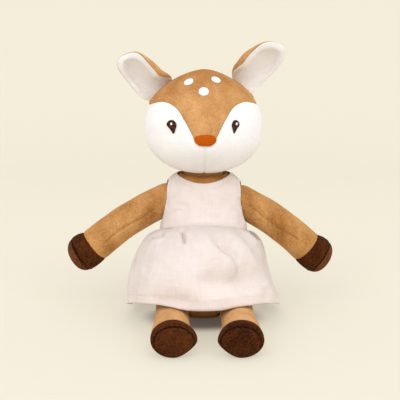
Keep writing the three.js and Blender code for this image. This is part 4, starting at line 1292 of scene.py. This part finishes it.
# %% The bodice
PANEL_GAP = 0.2
BODICE_PANELS = {
    "bodice_front": (180, 360, 0.117, 0.044, 0.0038), "bodice_back_left": (0, 90, 0.06, 0.044, 0.0025),
    "bodice_back_right": (90, 180, 0.06, 0.044, 0.0025)}
BODICE_CREASES = [
    ([(162, 222), (171, 214), (184, 209)], 3.4, 0.9), ([(170, 216), (176, 211), (186, 212)], 2.0, 0.3),
    ([(243, 224), (236, 213), (226, 208)], 3.4, 0.9), ([(190, 224), (206, 221), (226, 224)], 2.4, -0.5),
    ([(176, 203), (190, 206)], 2.4, 0.4), ([(238, 196), (240, 208)], 1.8, 0.5),
    ([(168, 192), (169, 208)], 1.8, 0.4),
]
for node, (first, last, flat_width, flat_length, flat_area) in BODICE_PANELS.items():
    bodice = cloth_grid(last - first, 84, flat_width / MM, 70, lambda across, along: bodice_point(
        first + PANEL_GAP + (last - first - 2 * PANEL_GAP) * across, along))
    keep_side(bodice, inside_bodice)
    trim(bodice)
    press(bodice, BODICE_CREASES)
    rows = row_on_cloth(bodice, neckline_starts(3.4), (0, 0, -1))
    for side_name, side_sign in SIDES.items():
        rows += row_on_cloth(bodice, armhole_starts(side_name, 3), (-side_sign, 0, 0))
    draw_in(bodice, 0.35, 0.7, [point for row in rows for point, _ in row])
    stitches = stitch_rows(node + "_stitches", rows)
    piece = finish_skin(bodice, node + "_cloth", COTTON, "body", [node], "dress_cotton", COTTON_THICK)
    piece.modifiers["wall"].offset = 1

# %% [markdown]
# ## The skirt
# The skirt is one long strip, gathered at the waist, that meets itself down the back. It swells out under the waist,
# falls over the thighs and hangs to the floor at the sides. Small puckers run down from the seam and fade, the sides
# and back hang in soft folds, and the folds on the front are pressed where the photograph shows them.

# %% The skirt
SKIRT_SIDE, SKIRT_FRONT, SKIRT_BACK = 69, 84, 53
WAIST_RADIUS = body_radius(WAIST) + 1.2
PUCKERS = [(index * 8.37 + 3.1 * math.sin(index * 2.3), 0.5 + 0.5 * math.sin(index * 1.7) ** 2) for index in range(43)]


def fuller(value):
    return math.copysign(abs(value) ** 0.9, value)


def skirt_base(angle, drop):
    """The skirt's smooth form: angle round the toy from its left, drop from 0 at the waist to 1 at the hem."""
    c, s = math.cos(angle), math.sin(angle)
    waist = Vector((WAIST_RADIUS * c, WAIST_RADIUS * BODY_DEPTH * s + body_middle(WAIST), 0))
    waist.z = WAIST - WAIST_TILT * (waist.y - body_middle(WAIST)) + 0.4
    thigh = 1 - (1 - min(1, max(0, -s) / 0.9)) ** 1.35
    hem = Vector((SKIRT_SIDE * fuller(c), (SKIRT_FRONT if s < 0 else SKIRT_BACK) * fuller(s), 0))
    hem.z = 5 + 23.4 * thigh - 1.7 * smoothstep(-s, 0.93, 1) - 3 * smoothstep(s, 0.2, 0.9)
    bell = drop * math.pi / 2
    flare = math.sin(bell)
    fold = 2.2 * flare * (1 - thigh) * math.cos(11 * angle)
    point = waist.lerp(hem, flare)
    point.z = hem.z + max(0, math.cos(bell)) ** 0.8 * (waist.z - hem.z)
    hollow = 8 * smoothstep(c, 0.3, 1) * math.sin(math.pi * drop**2)
    return point + Vector((fold * c - hollow, fold * s, 0))


def skirt_point(across, along):
    """The strip starts and ends down the back, where its ends overlap by two degrees."""
    turn = 90 + 362 * across - 1
    drop = 1 - along
    angle = math.radians(turn)
    point = skirt_base(angle, drop)
    pucker = 0
    for middle, size in PUCKERS:
        away = (turn - middle + 180) % 360 - 180
        pucker += size * math.exp(-((away / 2.2) ** 2))
    fade = math.exp(-drop / 0.16) * smoothstep(drop, -0.02, 0.05)
    overlap = 0.9 if across > 0.994 else 0
    out = Vector((math.cos(angle), math.sin(angle), 0.25))
    return point + out * (overlap - 1.5 * pucker * fade + 0.5 * fade)


skirt = cloth_grid(420, 96, 440, 86, skirt_point)
lumps(skirt, 24, 1.1, 11)
SKIRT_FOLDS = [
    ([(181.8, 227), (182.6, 233), (184.6, 244)], 2.1, 5.0),
    ([(177, 230), (177.5, 240), (175, 252)], 3.0, -1.2), ([(188.5, 229), (190.5, 240), (193, 254)], 3.0, -1.2),
    ([(149, 237), (156.5, 235), (165, 232)], 2.2, 6.0), ([(149, 242), (158, 240.5), (167, 238)], 2.2, -1.6),
    ([(246, 227), (253, 231.5), (262, 239.5)], 2.2, 5.0), ([(243, 232), (250, 237), (258, 246)], 2.6, -1.6),
    ([(262, 237), (267.5, 253), (273, 272), (279, 294)], 2.0, 2.2),
    ([(143, 234), (134.5, 251), (131, 278)], 2.0, 3.0),
    ([(211.5, 228), (217, 238), (225, 247.5), (236, 255), (241.5, 267), (243, 280)], 4.0, 4.4),
    ([(219, 240), (232, 251)], 5, 1.5),
    ([(203, 232), (211, 246), (224, 259), (234, 272)], 4.5, -2.2),
    ([(224, 229), (240, 243), (251, 258), (256, 276)], 4.5, -2.2),
    ([(196, 282), (218, 281), (238, 282), (260, 278)], 13, 8.5), ([(150, 302), (170, 301), (192, 303)], 7, 2.0),
    ([(190, 246), (194, 272)], 7, 1.5), ([(150, 246), (146, 268), (140, 296)], 4, 1.2),
    ([(262, 282), (270, 290), (276, 300)], 5, -1.6),
]
press(skirt, SKIRT_FOLDS, 0.1)
CLOTH_MAP = skirt.loops.layers.uv["cloth"]
HEM_ROW_UP, MAP_ROW = 4.5, 0.44
hem_row = [(vert.link_loops[0][CLOTH_MAP].uv, vert) for vert in skirt.verts]
hem_row = [(place.x, vert) for place, vert in hem_row if abs(place.y - HEM_ROW_UP) < MAP_ROW]
hem_row = [(vert.co.copy(), vert.normal.copy()) for _, vert in sorted(hem_row, key=lambda pair: pair[0])]
if sum(out.dot(point - Vector((0, body_middle(0), point.z))) for point, out in hem_row) < 0:
    hem_row = [(point, -out) for point, out in hem_row]
print("hem row of", len(hem_row), "points")
draw_in(skirt, 0.35, 0.8, [point for point, _ in hem_row])
hem_stitches = stitch_rows("skirt_hem_stitches", [hem_row], 3.0)
skirt_piece = finish_skin(
    skirt, "skirt_cloth", COTTON, "body", ["skirt_front", "skirt_back_left", "skirt_back_right"], "dress_cotton",
    COTTON_THICK, 0)

# %% [markdown]
# ## Inside, and the fastenings
# The fillings of the head and the body and the pouch stay as they are: they don't show, but each still gets its own
# finish. So do the buttons and the thread loops at the back.

# %% Finishes of what stays
POUCH = speckled("pouch_cloth", (196, 190, 174), (224, 218, 204), 0.9, 0.0006, 700, detail=3)
PEARL = Finish("button_plastic")
cloud = PEARL.speckle(PEARL.place(), 260, detail=3, distortion=1)
PEARL.surface(PEARL.mixed(cloud, (232, 222, 210), (250, 246, 238)), 0.28 + 0.12 * cloud, **{
    "Coat Weight": 0.3, "Coat Roughness": 0.2})
KEPT_FINISHES = {"pellet_pouch": POUCH, "button_upper": PEARL, "button_lower": PEARL,
                 "button_loop_upper": CREAM_THREAD, "button_loop_lower": CREAM_THREAD}

for node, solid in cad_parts.items():
    if solid.hide_render:
        continue
    fabric = KEPT_FINISHES.get(node, FIBRE)
    solid.data.materials.clear()
    solid.data.materials.append(fabric.material)
    print(node, "keeps its solid, in", fabric.material.name)

# %% [markdown]
# ## Floor, light and the end
# The photograph's background is one pale cream from the floor up, with a faint shadow under the toy, as on a
# light table, whose floor glows a little by itself. Round where the toy sits, the glow is dimmed to a dark patch,
# which is a painted shadow. A wide card that curves up into a wall, a bright surround and broad suns from the front
# give that. The card is painted a little darker up the wall, where the suns meet it more squarely.

# %% The floor
GROUND = Finish("floor_card")
place = GROUND.place()
paper = GROUND.speckle(place, 3, detail=3)
back = GROUND.node("ShaderNodeSeparateXYZ", {}, [place], out=1)
near_tone = GROUND.mixed(paper, (162, 158, 145), (164, 160, 147))
far_tone = GROUND.mixed(paper, (149, 145, 132), (151, 147, 134))
# painted shadow: near the toy the floor's glow is dimmed to a dark patch
from_toy = GROUND.node("ShaderNodeMapping", {"vector_type": "TEXTURE"}, {
    "Vector": place, "Location": TO_ROW @ Vector((0, -22, 0)), "Scale": (0.052, 0.036, 10)})
away = GROUND.node("ShaderNodeVectorMath", {"operation": "LENGTH"}, [from_toy], out=1)
glow_and_painted_shadow = GROUND.mixed(GROUND.smooth_range(away, 0.65, 1.15), (96, 92, 84), (243, 236, 218))
card = GROUND.mixed(GROUND.smooth_range(back, -0.25, 1.5), near_tone, far_tone)
GROUND.surface(card, 0.95, **{"Emission Color": glow_and_painted_shadow, "Emission Strength": 0.53, "Specular IOR Level": 0.1})

CARD_SIDE, CARD_BEND, BEND_FROM = 4, 0.7, 0.9
floor_line = [(-3, 0), (-1, 0), (BEND_FROM, 0)]
for step in range(1, 16):
    turn = math.radians(6 * step)
    floor_line.append((BEND_FROM + CARD_BEND * math.sin(turn), CARD_BEND - CARD_BEND * math.cos(turn)))
floor_line.append((1.6, 3))
ground = bmesh.new()
line = [ground.verts.new((-CARD_SIDE, y, z)) for y, z in floor_line]
edges = [ground.edges.new(pair) for pair in zip(line, line[1:])]
swept = bmesh.ops.extrude_edge_only(ground, edges=edges)["geom"]
swept = [item for item in swept if isinstance(item, bmesh.types.BMVert)]
bmesh.ops.translate(ground, verts=swept, vec=(2 * CARD_SIDE, 0, 0))
bmesh.ops.recalc_face_normals(ground, faces=ground.faces)
floor = as_object(ground, "floor", GROUND)

# %% The light


def sun(name, way, strength, spread):
    """A broad sun that shines along a direction. Its spread in degrees softens the shadows."""
    made = bpy.data.objects.new(name, bpy.data.lights.new(name, "SUN"))
    made.data.energy = strength
    made.data.angle = math.radians(spread)
    made.location = -Vector(way) * 2
    made.rotation_euler = Vector(way).to_track_quat("-Z", "Y").to_euler()
    bpy.context.scene.collection.objects.link(made)


sun("key", (0.42, 0.67, -0.61), 0.85, 40)
sun("fill", (-0.47, 0.65, -0.6), 0.85, 50)
sun("low", (0, 0.97, 0.24), 0.4, 60)
world = bpy.data.worlds.new("studio")
world.use_nodes = True
background = world.node_tree.nodes["Background"]
background.inputs["Color"].default_value = (0.965, 0.985, 1.04, 1)
background.inputs["Strength"].default_value = 0.92
bpy.context.scene.world = world
bpy.context.scene.view_settings.view_transform = "Standard"
